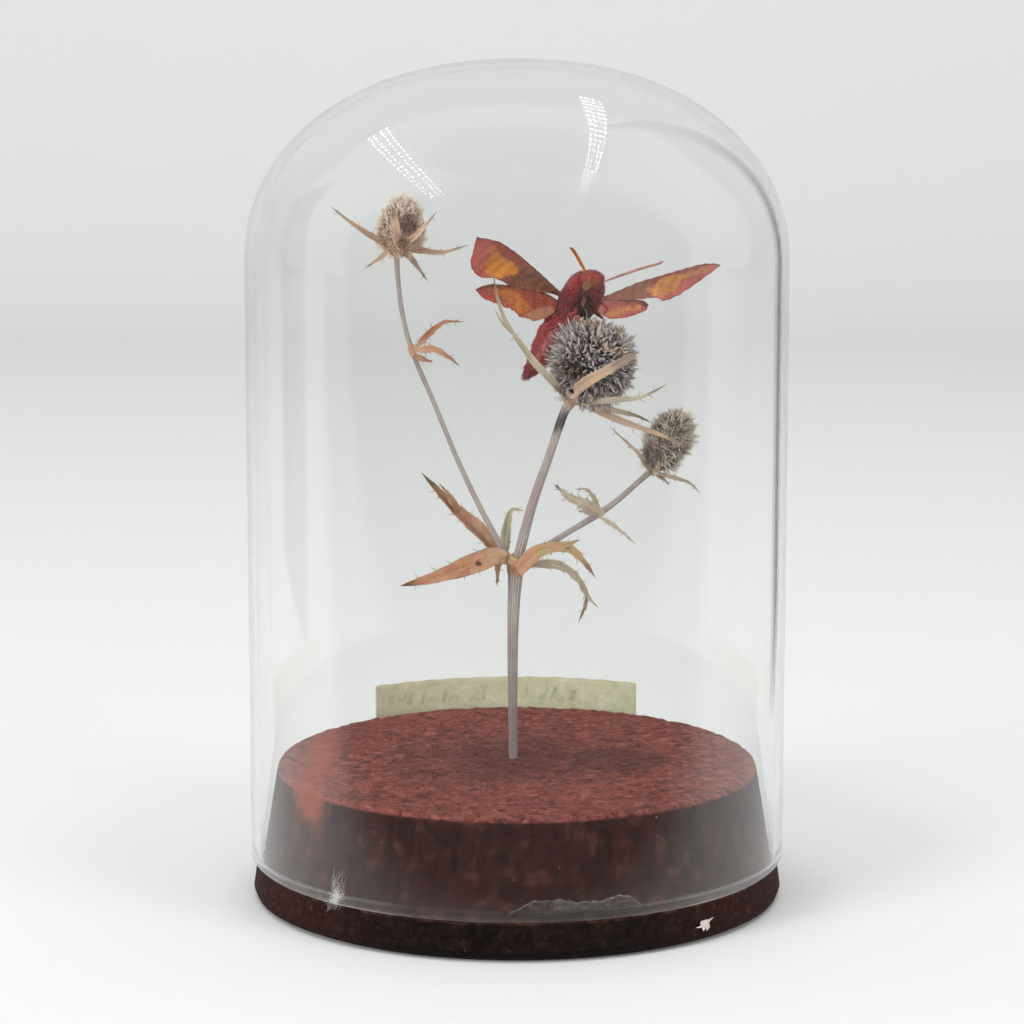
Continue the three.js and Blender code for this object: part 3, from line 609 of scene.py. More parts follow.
# %% Label
def label_shape():
    """A strip bent round the dome's axis: the ring at each angle runs up the inner face, down the outer."""
    rows, cols = 120, 26
    deg = np.linspace(61, 125, rows)[:, None]
    low, high = 9.65 + 0.12 * np.sin(deg * 0.9) ** 2, 30.3 - 0.14 * np.sin(deg * 0.53 + 1) ** 2
    up = np.linspace(0, 1, cols)
    z = low + (high - low) * up
    puff = 0.06 * np.sin(deg * 0.31) * np.sin(up * 9) + 0.06
    inner, outer = 50.27 + 0 * z, 50.37 + 0.8 * puff
    radius, height = np.hstack([inner, outer[:, ::-1]]), np.hstack([z, z[:, ::-1]])
    a = np.radians(deg)
    return skin(np.stack([radius * np.cos(a), radius * np.sin(a), height], -1),
        along=np.repeat((deg - 61) / 64, 2 * cols, 1), up=np.hstack([up, up[::-1]]) + 0 * height)


paper, t, shader = shaded("faded_paper", 0.85, gloss=0.2, Subsurface_Weight=0.15, Subsurface_Scale=0.0006)
here, along, up = place(t), mark(t, "along"), mark(t, "up")
flecked = mottled(t, here, 330.0, (178, 173, 142), (196, 192, 164), (208, 205, 180), 0.15)
edge = calc(t, "MAXIMUM", between(t, size_of(t, calc(t, "SUBTRACT", along, 0.5)), 0.48, 0.5),
    between(t, size_of(t, calc(t, "SUBTRACT", up, 0.5)), 0.46, 0.5))
colour = blended(t, times(t, edge, 0.4), flecked["Color"], tone(160, 150, 118))
slant = node(t, "CombineXYZ", {0: plus(t, up, 4.2, times(t, along, 44.0)), 1: times(t, up, 3.0), 2: 0.0})
stroke = between(t, node(t, "TexNoise", {"Vector": slant, "Scale": 1.0, "Detail": 2.0}), 0.53, 0.6)
line = times(t, between(t, size_of(t, calc(t, "SUBTRACT", up, 0.83)), 0.075, 0.045),
    between(t, size_of(t, calc(t, "SUBTRACT", along, 0.55)), 0.43, 0.4))
colour = blended(t, times(t, times(t, stroke, line), 0.3), colour, tone(120, 124, 118))
wire(t, shader, Base_Color=colour, Normal=bumped(t, grain(t, here, 5200.0, 3.0), 0.05, 0.6))
put("pasted_label", label_shape(), paper, ["paper_label"])

# %% [markdown]
# Dried glue oozed out between the cork and the dome at the front. It is a wavy bead, low at its ends, that
# fills the wedge between the plug and the glass. It is brown and clear below, and pale along its crest.

# %% Glue
def glue_shape():
    """A bead along the rim: each ring is a wedge from the plug's slope to the glass, rounded on top.

    Its height is a sum of three waves.
    """
    rows, cols = 150, 12
    s = np.linspace(0, 1, rows)[:, None]
    a = np.radians(-92 + 29 * s)
    ends = np.clip(np.minimum(s * 0.7, 1 - s) * 9, 0, 1) ** 0.6
    top = 8.3 + ends * (2.5 + 0.35 * np.sin(s * 11 + 4.4) + 0.14 * np.sin(s * 31 + 2) + 0.08 * np.sin(s * 71))
    top = np.clip(top, 8.35, 11.4)
    inner = lambda z: 48.18 - (z - 7.0) * 0.164
    v = np.linspace(0, 1, cols)
    z_in = 8.2 + (top - 8.2) * v
    crown = 0.16 * np.sin(np.pi * np.linspace(0, 1, 5))
    mid_z = top + ends * crown - 0.16
    mid_r = inner(top) + (48.2 - inner(top)) * np.linspace(0.12, 0.88, 5)
    z_out = 8.2 + (top - 8.2) * v[::-1]
    ripple = 0.05 * np.sin(s * 90) * ends
    r = np.hstack([inner(z_in), mid_r, np.full((rows, cols), 48.2) - 0.04 + ripple - 0.05])
    z = np.hstack([z_in, mid_z, z_out])
    return skin(np.stack([r * np.cos(a), r * np.sin(a), z], -1), along=s + 0 * z,
        crest=np.clip(1 - (top + 0.1 - z) / 0.45, 0, 1))


glue, t, shader = shaded("dried_glue", 0.16, IOR=1.4, Transmission_Weight=0.9, Coat_Weight=0.3)
here = place(t)
milky = mottled(t, here, 260.0, (104, 66, 58), (190, 160, 150), (244, 232, 226), 0.15)
sunk = between(t, plus(t, milky["Height"], 0.0016, coordinate(t, here, 2)), 0.0108, 0.0094, 0.0, 0.8)
brown = blended(t, sunk, milky["Color"], tone(86, 46, 40))
wire(t, shader, Base_Color=blended(t, times(t, mark(t, "crest"), 0.8), brown, tone(238, 226, 220)),
    Roughness=between(t, milky["Height"], 0.4, 0.65, 0.06, 0.3), Normal=bumped(t, grain(t, here, 420.0, 3.0),
    0.4, 0.8))
put("glue_ooze", glue_shape(), glue, ["glue_bead"])

# %% [markdown]
# White lint is caught on the rim. A blob would look like putty, so it is made of about a hundred hairs,
# each a three-sided thread on a wandering curve. Most mat together, and some reach up and down the glass.

# %% Lint and flake
def threads(starts, ends, wander, radius, steps=9, seed=1):
    """Many thin threads at once, closed at both ends, with three points round each.

    Points along each straight line are moved by a sum of sine wanderings.
    """
    r = np.random.default_rng(seed)
    n = len(starts)
    s = np.linspace(0, 1, steps)[None, :, None]
    base = starts[:, None] * (1 - s) + ends[:, None] * s
    for k in (1, 2, 3):
        base = base + wander / k * r.normal(size=(n, 1, 3)) * np.sin(np.pi * k * s + r.uniform(0, 6,
            (n, 1, 1))) * np.sqrt(np.sin(np.pi * np.clip(s, 0.02, 1)) + 0.05)
    along = unit(np.gradient(base, axis=1))
    side = unit(np.cross(along, [0.31, 0.52, 0.79]))
    up = np.cross(side, along)
    angle = np.arange(3) * 2 * np.pi / 3
    wide = radius * (1 - 0.7 * s[..., None]) * np.ones((n, 1, 1, 1))
    rings = base[:, :, None] + wide * (np.cos(angle)[:, None] * side[:, :, None] + np.sin(angle)[:, None]
        * up[:, :, None])
    one = skin(rings[0])
    faces = outward(np.vstack([rings[0].reshape(-1, 3), base[0, 0], base[0, -1]]), one["faces"])
    points = np.concatenate([rings.reshape(n, -1, 3), base[:, :1], base[:, -1:]], 1)
    k = points.shape[1]
    index = np.where(faces < 0, -1, faces + k * np.arange(n)[:, None, None]).reshape(-1, 4)
    return {"points": points.reshape(-1, 3), "faces": index,
        "marks": {"tone": np.repeat(r.uniform(size=n), k)}}


fluff, t, shader = shaded("white_lint", 0.9, Sheen_Weight=0.3)
wire(t, shader, Base_Color=blended(t, mark(t, "tone"), tone(196, 196, 192), tone(246, 246, 242)),
    Normal=bumped(t, grain(t, place(t), 9000.0, 2.0), 0.02, 0.4))
tuft = math.radians(-129)
out, side = np.array([math.cos(tuft), math.sin(tuft), 0]), np.array([-math.sin(tuft), math.cos(tuft), 0])
centre = out * 51.0 + [0, 0, 9.2]
n = 96
spread = rng.normal(size=(n, 2)) * [0.6, 0.6]
starts = centre + side * spread[:, :1] * 0.6 + np.array([0, 0, 1.0]) * spread[:,
    1:] * 0.7 + out * rng.uniform(-0.35, 0.2, (n, 1))
reach = rng.normal(size=(n, 2)) * [0.9, 0.8] + [[-0.1, 0.2]]
ends = centre + side * reach[:, :1] + np.array([0, 0, 1.0]) * reach[:, 1:] + out * rng.uniform(-0.4, 0.3,
    (n, 1))
ends[:20] = centre + side * rng.uniform(-1.2, 1.8, (20, 1)) + np.array([0, 0, 1.0]) * rng.uniform(1.5, 5.6,
    (20, 1)) - out * 0.35
ends[20:38] = centre + side * rng.uniform(-3.0, 0.2, (18, 1)) + np.array([0, 0, 1.0]) * rng.uniform(-3.2,
    -1.0, (18, 1)) + out * rng.uniform(-0.2, 0.2, (18, 1))
lint_shape = threads(starts, ends, 0.6, 0.017, seed=4)
radial = lint_shape["points"] @ out
lint_shape["points"] += np.clip(50.12 - radial, 0, None)[:, None] * out - np.clip(radial - 51.8, 0, None)[:,
    None] * out
put("caught_lint", lint_shape, fluff, ["lint_tuft"])


def flake_shape():
    """A torn scrap: rings from its middle out to a jagged outline and back, crumpled by two waves."""
    rows, cols = 14, 60
    a = circle(cols)
    corners = np.array([[1.85, 1.15], [0.95, 0.8], [0.2, 0.98], [-0.9, 0.85], [-1.5, 0.5], [-1.15, 0.2],
        [-2.4, -0.2], [-0.9, -0.3], [-0.75, -1.1], [0.1, -0.75], [0.5, -1.35], [0.95, -0.1]])
    step = np.linspace(0, len(corners), cols, endpoint=False)
    i = step.astype(int)
    w = (step - i)[:, None]
    edge = corners[i] * (1 - w) + corners[(i + 1) % len(corners)] * w
    s = np.concatenate([np.linspace(0.04, 1, rows), np.linspace(1, 0.04, rows)[1:]])[:, None]
    face = np.concatenate([np.ones(rows), -np.ones(rows - 1)])[:, None]
    x, y = s * edge[:, 0], s * edge[:, 1]
    crumple = 0.16 * np.sin(3.1 * x + 1.7 * y) + 0.1 * np.sin(5.3 * y - 2.2 * x)
    depth = crumple + 0.04 * face * (1 - s**6)
    turn = math.radians(-47.5)
    out, side = np.array([math.cos(turn), math.sin(turn), 0]), np.array([-math.sin(turn), math.cos(turn), 0])
    place = x[..., None] * side + y[..., None] * np.array([0, 0, 1.0]) + (49.95 + depth)[..., None] * out
    place = place + np.array([0, 0, 3.4])
    mid = place[0].mean(0), place[-1].mean(0)
    return skin(place, mid, along=s + 0 * x)


scrap, t, shader = shaded("torn_scrap", 0.8, Subsurface_Weight=0.1, Subsurface_Scale=0.0005)
wire(t, shader, Base_Color=mottled(t, place(t), 1400.0, (158, 142, 138), (194, 182, 178), (228, 220, 216),
    0.12)["Color"], Normal=bumped(t, grain(t, place(t), 3000.0), 0.1, 0.5))
put("stuck_flake", flake_shape(), scrap, ["paper_flake"])

# %% [markdown]
# ## Stems
# Dried sea holly stems are ridged like a bundle of fine canes. A plain rod with stripes would show a round
# outline, so the radius itself goes up and down round the ring, and the grooves are kept as a mark for
# the finish. The main stem swells towards the fork.

# %% Stem shapes
def ridged(points, radii, ridges=9, rows=120, flare=0.0):
    """A rod whose radius runs between its radii, plus a flare at its foot.

    It is multiplied by 1 + 0.045 times two cosines of the angle, with a slow twist.
    """
    at = np.linspace(0, 1, len(radii))

    def radius(t, angle):
        wave = np.cos(ridges * angle + 1.2 * t) + 0.45 * np.cos((ridges // 2 + 1) * angle - t)
        return (np.interp(t, at, radii) + flare * np.exp(-t * 22)) * (1 + 0.045 * wave)

    ridge = lambda t, a: 0.5 + 0.5 * np.cos(ridges * a + 1.2 * t)
    return tube(points, radius, sides=ridges * 6, rows=rows, ridge=ridge)


stem_paths = {
    "stem_main": ([(-0.7, 0, 12.95), (-0.7, 0, 24.65), (-0.8, 0, 36), (-0.8, 0, 47.4), (-0.6, 0, 55.1),
        (-0.1, 0, 63.2)], [0.74, 0.74, 0.8, 0.9, 1.0, 1.14, 1.5], 0.0),
    "stem_left_branch": ([(-0.9, 0, 62.0), (-2.6, 0, 65.0), (-6.7, 0.5, 72.6), (-10.9, 1, 81.5),
        (-15.6, 1.5, 92.9), (-19, 2, 100.9), (-21, 3, 107.5), (-22.1, 4, 115.6), (-22.3, 4, 119.6)],
        [0.68, 0.58, 0.5, 0.45, 0.42, 0.46, 0.44, 0.42, 0.52], 0.2),
    "stem_middle_branch": ([(-0.1, 0, 61.8), (0.4, 0, 64.2), (3, 0, 74.1), (5.9, -1, 82.7), (8.6, -2, 90.9),
        (9.9, -2.2, 93.8)], [1.2, 0.96, 0.84, 0.76, 0.8, 0.95], 0.3),
    "stem_right_branch": ([(0.6, 0.3, 63.4), (2.4, 0.5, 64.3), (5, 0.2, 65.6), (9.9, 0.5, 68.5),
        (15.1, 1, 71.6), (18.3, 1.5, 73.8), (22.8, 2, 77.7), (26, 2, 80.5)], [0.7, 0.58, 0.55, 0.53, 0.62,
        0.52, 0.5, 0.6], 0.15),
}

dry_stem, t, shader = shaded("dry_stem", 0.62, gloss=0.35)
here, ridge, along = place(t), mark(t, "ridge"), mark(t, "along")
length_way = node(t, "Mapping", {"Vector": here, "Scale": (1, 1, 0.12)})
streak = grain(t, length_way, 1500.0, 4.0, 0.6)
value = plus(t, streak, 0.9, times(t, ridge, 0.75), clamp=True)
colour = blended(t, between(t, value, 0.25, 0.8), tone(120, 110, 105), tone(164, 154, 148))
colour = blended(t, between(t, value, 0.8, 1.15), colour, tone(190, 180, 172))
mauve = between(t, grain(t, here, 120.0, 3.0), 0.42, 0.6, 0.0, 0.35)
colour = blended(t, mauve, colour, tone(140, 108, 118))
spots = between(t, grain(t, here, 2100.0, 2.0, 0.5), 0.7, 0.76, 0.0, 0.7)
colour = blended(t, spots, colour, tone(84, 58, 50))
low = between(t, coordinate(t, here, 2), 0.056, 0.028, 0.0, 0.45)
colour = blended(t, low, colour, tone(96, 82, 92))
black_spot = (0.0083, -0.0018, 0.0895)
neck = distance(t, here, black_spot)
black = between(t, plus(t, grain(t, length_way, 900.0, 3.0), 0.003, neck), 0.0025, 0.0046, 0.8, 0.0)
colour = blended(t, black, colour, tone(40, 36, 32))
wire(t, shader, Base_Color=colour, Roughness=between(t, value, 0.0, 1.0, 0.72, 0.5),
    Normal=bumped(t, value, 0.18, 0.7))
for name, (path, radii, flare) in stem_paths.items():
    put(name.replace("stem_", "ridged_stem_"), ridged(path, radii, 15 if "main" in name else 11,
        200 if "main" in name else 150, flare), dry_stem, [name])

# %% [markdown]
# ## Leaves and bracts
# A sea holly leaf is a stiff folded blade with a pale midrib and a few needle-sharp teeth that lean
# forward. Cutting a flat plane along a drawn outline would work for one leaf, but there are twenty-nine.
# So one formula gives the blade: a width along the midrib, a fold across it, teeth as saw waves on each
# margin, and a ring that runs over the top face and back under it.

# %% Blade shape
BURIED = 1.1  # mm of a leaf's foot inside its stem
LEAF_HOLE = (-0.00715, -0.00460, 0.06320)


def breadth(t, base, blunt=0.75):
    """Rises from the base share to full at a third of the length, then narrows as (1 - t)^blunt."""
    return 1.28 * (base + (1 - base) * np.sin(np.clip(t / 0.35, 0, 1) * np.pi / 2)) * (1 - t) ** blunt


def blade(points, width, facing=(0, -1, 0.3), fold=0.25, base=0.45, thick=0.26, teeth=5, bite=0.3, blunt=0.75,
    ruffle=0.12, rows=110, seed=0):
    """A closed folded leaf, thin at its edges.

    Half width = breadth * (1 + bite * (saw wave^4 - 0.18)), lifted by fold * |across| and by a ruffle.
    """
    r = np.random.default_rng(seed)
    p = np.array(points, float)
    p = np.vstack([p[0] - unit(p[1] - p[0]) * BURIED, p])
    share = np.linspace(0, 1, rows) ** 0.92
    t, run = by_run(p, share)
    at, along, side, up = stations(p, t, facing)
    t = np.clip((share * run - BURIED) / (run - BURIED), 0, 1)
    turn = (0.12 * np.sin(t * 5 + r.uniform(0, 6)))[:, None]
    side, up = np.cos(turn) * side + np.sin(turn) * up, np.cos(turn) * up - np.sin(turn) * side
    s = np.concatenate([np.linspace(-1, 1, 13), np.linspace(1, -1, 13)[1:-1]])
    face = np.concatenate([np.ones(13), -np.ones(11)])
    reach = np.ones((rows, 2))
    for k in (0, 1):
        saw = np.mod(teeth * t**1.15 * (1 + 0.15 * k) + r.uniform(), 1.0)
        strength = np.interp(t, [0, 0.12, 0.3, 0.85, 1], [0, 0.2, 1, 0.9, 0])
        reach[:, k] += bite * strength * (saw**4 - 0.18) / np.maximum(breadth(t, base, blunt), 0.35)
    half = np.maximum(width / 2 * breadth(t, base, blunt), 0.05)
    wide = half[:, None] * np.where(s < 0, reach[:, :1], reach[:, 1:]) * s
    droop = ruffle * half[:, None] * np.sin(t[:, None] * 15 + 2 * s + r.uniform(0, 6)) * s**2
    lift = half[:, None] * fold * np.abs(s) + droop - 0.1 * np.exp(-((s / 0.14) ** 2)) * half[:, None]
    body = thick * np.maximum(0.35, 1 - t)[:, None] * (1 - 0.85 * s**4) / 2
    rib = 0.1 * np.exp(-((s / 0.12) ** 2)) * (1 - t)[:, None]
    rings = at[:, None] + wide[..., None] * side[:, None] + (lift + face * (body + rib * (face < 0)))[...,
        None] * up[:, None]
    return skin(rings, (at[0], at[-1] + along[-1] * 0.35), along=t[:, None],
        across=np.broadcast_to(s, (rows, 24)))


def needles(points, width, facing, fold, base, count, length, seed):
    """Fine spines on both margins of a blade: thin cones that start on the folded margin and lean forward."""
    r = np.random.default_rng(seed)
    t = np.repeat(np.linspace(0.12, 0.86, count), 2) + r.uniform(-0.06, 0.06, 2 * count)
    at, along, side, up = stations(np.array(points, float), by_run(points, t)[0], facing)
    sign = np.tile([1.0, -1.0], count)[:, None]
    half = (width / 2 * breadth(t, base) * 0.88)[:, None]
    start = at + sign * side * half + up * (half * fold)
    lean = unit(sign * side * r.uniform(0.8, 1.4, (2 * count, 1)) + along * r.uniform(0.3, 1.1,
        (2 * count, 1)) + up * r.uniform(-0.1, 0.4, (2 * count, 1)))
    one = threads(start, start + lean * (length * r.uniform(0.5, 1.3, (2 * count, 1))), 0.03, 0.08, 5, seed)
    return {"points": one["points"], "faces": one["faces"],
        "marks": {"along": np.full(len(one["points"]), 0.95), "across": np.full(len(one["points"]), 0.6)}}


# %% [markdown]
# The seven finishes use the same dry tissue group with different colours: rust, brown and olive for the
# leaves round the fork, grey and cream for the young ones, pale and straw for the bracts under the heads.
# Thin leaves let some light through, so each has a little subsurface.

# %% Leaf finishes
def tissue(name, body, second, rib, tip, foot, tip_start, dust=0.25, rib_width=0.12, margin=0.82):
    """Dry tissue colours on the blade's own marks, dust on top, and fibres as relief."""
    material, t, shader = shaded(name, 0.68, gloss=0.3, Subsurface_Weight=0.12, Subsurface_Scale=0.0005)
    here = place(t)
    colours = {"Body": tone(*body), "Second": tone(*second), "Rib": tone(*rib), "Tip": tone(*tip)}
    places = {"Vector": here, "Along": mark(t, "along"), "Across": mark(t, "across")}
    made = use(t, "Dry tissue", {**places, **colours, "Tip start": tip_start, "Rib width": rib_width,
        "Margin": margin})
    paling = between(t, plus(t, grain(t, here, 500.0, 3.0), 0.2, mark(t, "along")), 0.12, 0.34, 0.75, 0.0)
    colour = blended(t, paling, made["Color"], tone(*foot))
    hole = distance(t, here, LEAF_HOLE)
    colour = blended(t, between(t, hole, 0.0004, 0.0009, 0.9, 0.0), colour, tone(52, 32, 18))
    dusty = dusted(t, here, colour, (188, 178, 162), dust, 800.0)
    wire(t, shader, Base_Color=dusty, Normal=bumped(t, made["Height"], 0.16, 0.7),
        Roughness=between(t, made["Height"], 0.2, 0.9, 0.6, 0.8))
    return material


leaf_finish = {
    "rust_leaf": (tissue("rust_leaf", (154, 102, 74), (176, 130, 98), (198, 162, 132), (104, 70, 44),
        (190, 160, 134), 0.8, rib_width=0.05, margin=0.88), "dry_leaf"),
    "brown_leaf": (tissue("brown_leaf", (150, 100, 78), (168, 138, 108), (208, 188, 156), (106, 82, 60),
        (152, 104, 84), 0.74, rib_width=0.07), "dry_leaf"),
    "olive_leaf": (tissue("olive_leaf", (154, 130, 92), (174, 130, 98), (208, 188, 154), (122, 92, 70),
        (184, 134, 106), 0.72, rib_width=0.06), "dry_leaf"),
    "grey_leaf": (tissue("grey_leaf", (158, 146, 126), (178, 162, 142), (212, 203, 184), (120, 100, 84),
        (180, 162, 140), 0.78), "pale_leaf"),
    "cream_leaf": (tissue("cream_leaf", (192, 188, 158), (184, 172, 142), (216, 210, 186), (150, 118, 92),
        (150, 112, 84), 0.9), "pale_leaf"),
    "pale_bract": (tissue("pale_bract", (212, 178, 150), (194, 160, 140), (232, 208, 182), (150, 126, 110),
        (222, 188, 156), 0.7, rib_width=0.07), "bract"),
    "straw_bract": (tissue("straw_bract", (184, 150, 122), (168, 142, 124), (212, 190, 164), (134, 118, 104),
        (196, 162, 132), 0.7, rib_width=0.07), "bract"),
}

# %% [markdown]
# Each leaf's midrib, width and facing come from the solid that it replaces. Teeth, twist and needles are
# added here. A leaf starts a millimetre further back than its solid, inside the stem that carries it.

# %% The leaves round the stems
FRONT = (0, -1, 0.3)
leaves = {
    "leaf_fork_upper_left": ([(-2.6, 1.4, 63.4), (-3.9, 2.0, 64.7), (-8.1, 3, 68.9), (-12, 5, 72.3),
        (-17.9, 6, 78.6)], 3.3, (0.3, -1, 0.4), 0.5, 0.35, 5, 0.14, "brown_leaf"),
    "leaf_fork_lower_left": ([(-1.8, -0.8, 63.2), (-3.6, -1.8, 64.2), (-8, -5, 63.2), (-16.1, -8, 61),
        (-21.4, -9, 59.9)], 4.5, (0, -1, 0.5), 0.15, 0.3, 4, 0.05, "rust_leaf"),
    "leaf_fork_upright": ([(-2.2, 2.4, 64.3), (-2, 3, 68.5), (-0.9, 3.5, 72), (1.1, 4, 71.8)], 2.0, FRONT,
        0.3, 0.45, 3, 0.1, "cream_leaf"),
    "leaf_fork_hanging": ([(-2.4, -1.0, 64.3), (-3.2, -1.5, 63.9), (-3.5, -2.5, 62.4), (-3.7, -3, 58.8)], 1.4,
        FRONT, 0.25, 0.5, 2, 0.3, "olive_leaf"),
    "leaf_fork_upper_right": ([(0.9, -2.3, 62.3), (3.8, -3, 65), (9.1, -5, 66.3), (12, -6.5, 64.3),
        (14.4, -8, 61.3)], 2.9, (0, -1, 0.6), 0.2, 0.75, 5, 0.22, "olive_leaf"),
    "leaf_fork_lower_right": ([(3.3, -1.4, 62.5), (7, 0.2, 62.1), (10.1, 2, 60.3), (13, 4, 55.5),
        (11.7, 5, 50.3)], 2.1, (0.3, -0.8, 0.6), 0.3, 0.45, 5, 0.3, "grey_leaf"),
    "leaf_left_joint_rising": ([(-18.4, 1.2, 103.1), (-15.8, 0, 105.9), (-13.3, 0, 107.6), (-10.0, 0, 107.7)],
        1.3, FRONT, 0.35, 0.5, 4, 0.25, "rust_leaf"),
    "leaf_left_joint_falling": ([(-18.0, 1.0, 102.3), (-15.2, -1, 102.7), (-12.5, -2, 101.3),
        (-10.6, -3, 99.9)], 1.4, FRONT, 0.4, 0.5, 4, 0.25, "rust_leaf"),
    "leaf_left_joint_stub": ([(-18.4, 1.0, 101.1), (-17.4, 0, 100.8), (-15.6, -0.4, 100.3)], 1.2, FRONT, 0.25,
        0.6, 2, 0.3, "brown_leaf"),
    "leaf_right_joint_broad": ([(14.6, 0.2, 72.7), (12.4, -1, 73.9), (9.3, -2, 75.6), (6.8, -2, 77.8)], 2.2,
        FRONT, 0.25, 0.5, 5, 0.4, "grey_leaf"),
    "leaf_right_joint_thin": ([(15.2, 2.0, 72.9), (14.1, 3, 74.8), (13, 3, 75.9), (10.9, 3, 76)], 0.9, FRONT,
        0.25, 0.45, 3, 0.3, "grey_leaf"),
    "leaf_right_joint_short": ([(14.3, -0.2, 71.9), (13.3, -1.2, 72.2), (11.3, -3, 72.9)], 0.9, FRONT, 0.25,
        0.45, 3, 0.4, "grey_leaf"),
    "leaf_right_joint_trailing": ([(15.9, 0.2, 70.9), (18.1, -1, 69.7), (19.7, -1.5, 68.5), (21.8, -2, 66.7)],
        0.9, FRONT, 0.25, 0.45, 3, 0.3, "grey_leaf"),
    "bract_left_head_long": ([(-22.9, 2.6, 121.4), (-24.9, 1.0, 122.4), (-27.3, 0, 123.9), (-30.5, -1, 126.2),
        (-34.1, -1, 129)], 1.25, FRONT, 0.45, 1.2, 3, 0.1, "straw_bract"),
    "bract_left_head_front": ([(-22.2, 2.2, 121.5), (-22.2, -0.6, 122.2), (-22.2, -3.9, 124.4),
        (-22.3, -4.7, 126.9), (-22.7, -5, 129.3)], 2.1, (0.5, -1, 0.3), 0.4, 0.9, 3, 0.08, "pale_bract"),
    "bract_left_head_right_rising": ([(-21.6, 2.6, 121.4), (-20.0, 0.2, 122.4), (-18.3, -2, 123.9),
        (-16.6, -3, 125.8), (-14.7, -3, 128.2)], 1.4, FRONT, 0.5, 0.9, 3, 0.1, "pale_bract"),
    "bract_left_head_right": ([(-21.4, 3.6, 121.3), (-17.6, 3.0, 120.6), (-13.9, 3, 120.2), (-9.1, 3, 121.6)],
        1.35, FRONT, 0.4, 0.9, 3, 0.1, "straw_bract"),
    "bract_left_head_falling_right": ([(-21.6, 4.4, 121.0), (-19.4, 5.4, 118.5), (-16.7, 6.6, 114.6)], 1.2,
        FRONT, 0.3, 0.9, 2, 0.1, "straw_bract"),
    "bract_left_head_falling_left": ([(-22.8, 4.4, 121.2), (-25.2, 6, 119.1), (-28.3, 8, 116.8)], 1.1, FRONT,
        0.3, 0.9, 2, 0.1, "straw_bract"),
    "bract_middle_head_long": ([(9.4, -3.6, 94.2), (6.6, -7.6, 97.3), (3.4, -9, 100.9), (0.3, -9.4, 105.0),
        (-2.9, -10, 110.8), (-4.4, -10, 117.9)], 1.5, (0.4, -1, 0), 0.5, 0.6, 3, 0.2, "grey_leaf"),
    "bract_middle_head_front": ([(9.9, -4.2, 93.9), (10.6, -9, 95.9), (12.8, -11.6, 98.1),
        (16.9, -12.8, 100.6), (21.4, -13.2, 103.2)], 1.75, (0.2, -1, 0.5), 0.14, 2.0, 3, 0.04, "straw_bract"),
    "bract_middle_head_right": ([(10.9, -3.2, 93.5), (13.8, -7.6, 93.8), (17.2, -10.2, 94.4),
        (22.5, -9.8, 94.9), (27.1, -9.4, 97.2)], 1.9, (0, -1, 0.8), 0.35, 0.6, 4, 0.12, "grey_leaf"),
    "bract_middle_head_lower": ([(10.8, -1.9, 93.2), (13.6, -2.6, 92.2), (18, -4, 90.3), (27, -6, 87.2),
        (31.7, -7, 85.1)], 1.5, FRONT, 0.35, 0.7, 4, 0.12, "straw_bract"),
    "bract_middle_head_back": ([(10.4, -0.8, 93.2), (13.6, 1, 92.0), (18, 3, 90.8), (22.4, 5.5, 89.4),
        (25.2, 8.4, 87.8)], 1.5, FRONT, 0.35, 0.7, 4, 0.12, "grey_leaf"),
    "bract_right_head_rising": ([(24.6, 1, 79.9), (22.6, -1, 83.2), (20.4, -2, 85.4), (17.2, -2, 88.4)], 0.9,
        FRONT, 0.3, 0.5, 3, 0.2, "grey_leaf"),
    "bract_right_head_falling": ([(26.5, 2.2, 79), (30.3, 3, 77.9), (32.4, 3, 77.1), (34.1, 3, 75.4)], 0.9,
        FRONT, 0.3, 0.5, 3, 0.2, "grey_leaf"),
    "bract_right_head_front": ([(25.5, 0.9, 79.3), (26, -1.6, 80.1), (26.1, -3.8, 82.8)], 1.2, FRONT, 0.3,
        0.5, 2, 0.2, "grey_leaf"),
    "bract_right_head_short": ([(26, 2.9, 78.8), (27.2, 3.4, 78), (28.5, 4, 76.7)], 0.8, FRONT, 0.3, 0.5, 2,
        0.2, "grey_leaf"),
}
lobes = {
    "leaf_fork_upper_left": ([(-11.5, 4.6, 72.4), (-13.2, 4.9, 75.0), (-14.4, 5.0, 76.6)], 1.3),
    "leaf_fork_upper_right": ([(7.6, -4.6, 66.2), (9.4, -5.0, 66.9), (11.6, -5.2, 67.9)], 1.4),
    "leaf_fork_lower_right": ([(12.4, 3.4, 57), (13.6, 4, 55), (15.2, 4, 53.4)], 1.1),
    "bract_middle_head_long": ([(-1.4, -9.6, 107.3), (-2.7, -10, 108.6), (-3.9, -10.2, 110.8)], 0.7),
}


def sheath(points, radii, whiskers, length, seed):
    """The feet of leaves round a stem: a thin sleeve with a lobed radius, and whiskers at its upper edge."""
    r = np.random.default_rng(seed)
    at = np.linspace(0, 1, len(radii))
    sleeve = tube(points, lambda t, a: np.interp(t, at, radii) * (1 + 0.1 * np.cos(3 * a + 2 * t) + 0.04
        * np.cos(11 * a)), 40, 24)
    sleeve["marks"] = {"along": sleeve["marks"]["along"] * 0.3, "across": np.full(len(sleeve["points"]), 0.4)}
    a = r.uniform(0, 2 * np.pi, whiskers)
    top, rise = np.array(points[-1], float), unit(np.array(points[-1], float) - points[-2])
    ring = np.stack([np.cos(a), np.sin(a), 0 * a], 1)
    start = top - rise * r.uniform(0.2, 1.4, (whiskers, 1)) + ring * radii[-1] * 0.9
    hairs = threads(start, start + unit(ring * 1.3 + rise * r.uniform(-0.9, 1.2, (whiskers, 1))) * length
        * r.uniform(0.5, 1.2, (whiskers, 1)), 0.06, 0.045, 5, seed)
    hairs["marks"] = {"along": np.full(len(hairs["points"]), 0.3), "across": np.full(len(hairs["points"]),
        0.98)}
    return joined(sleeve, hairs)


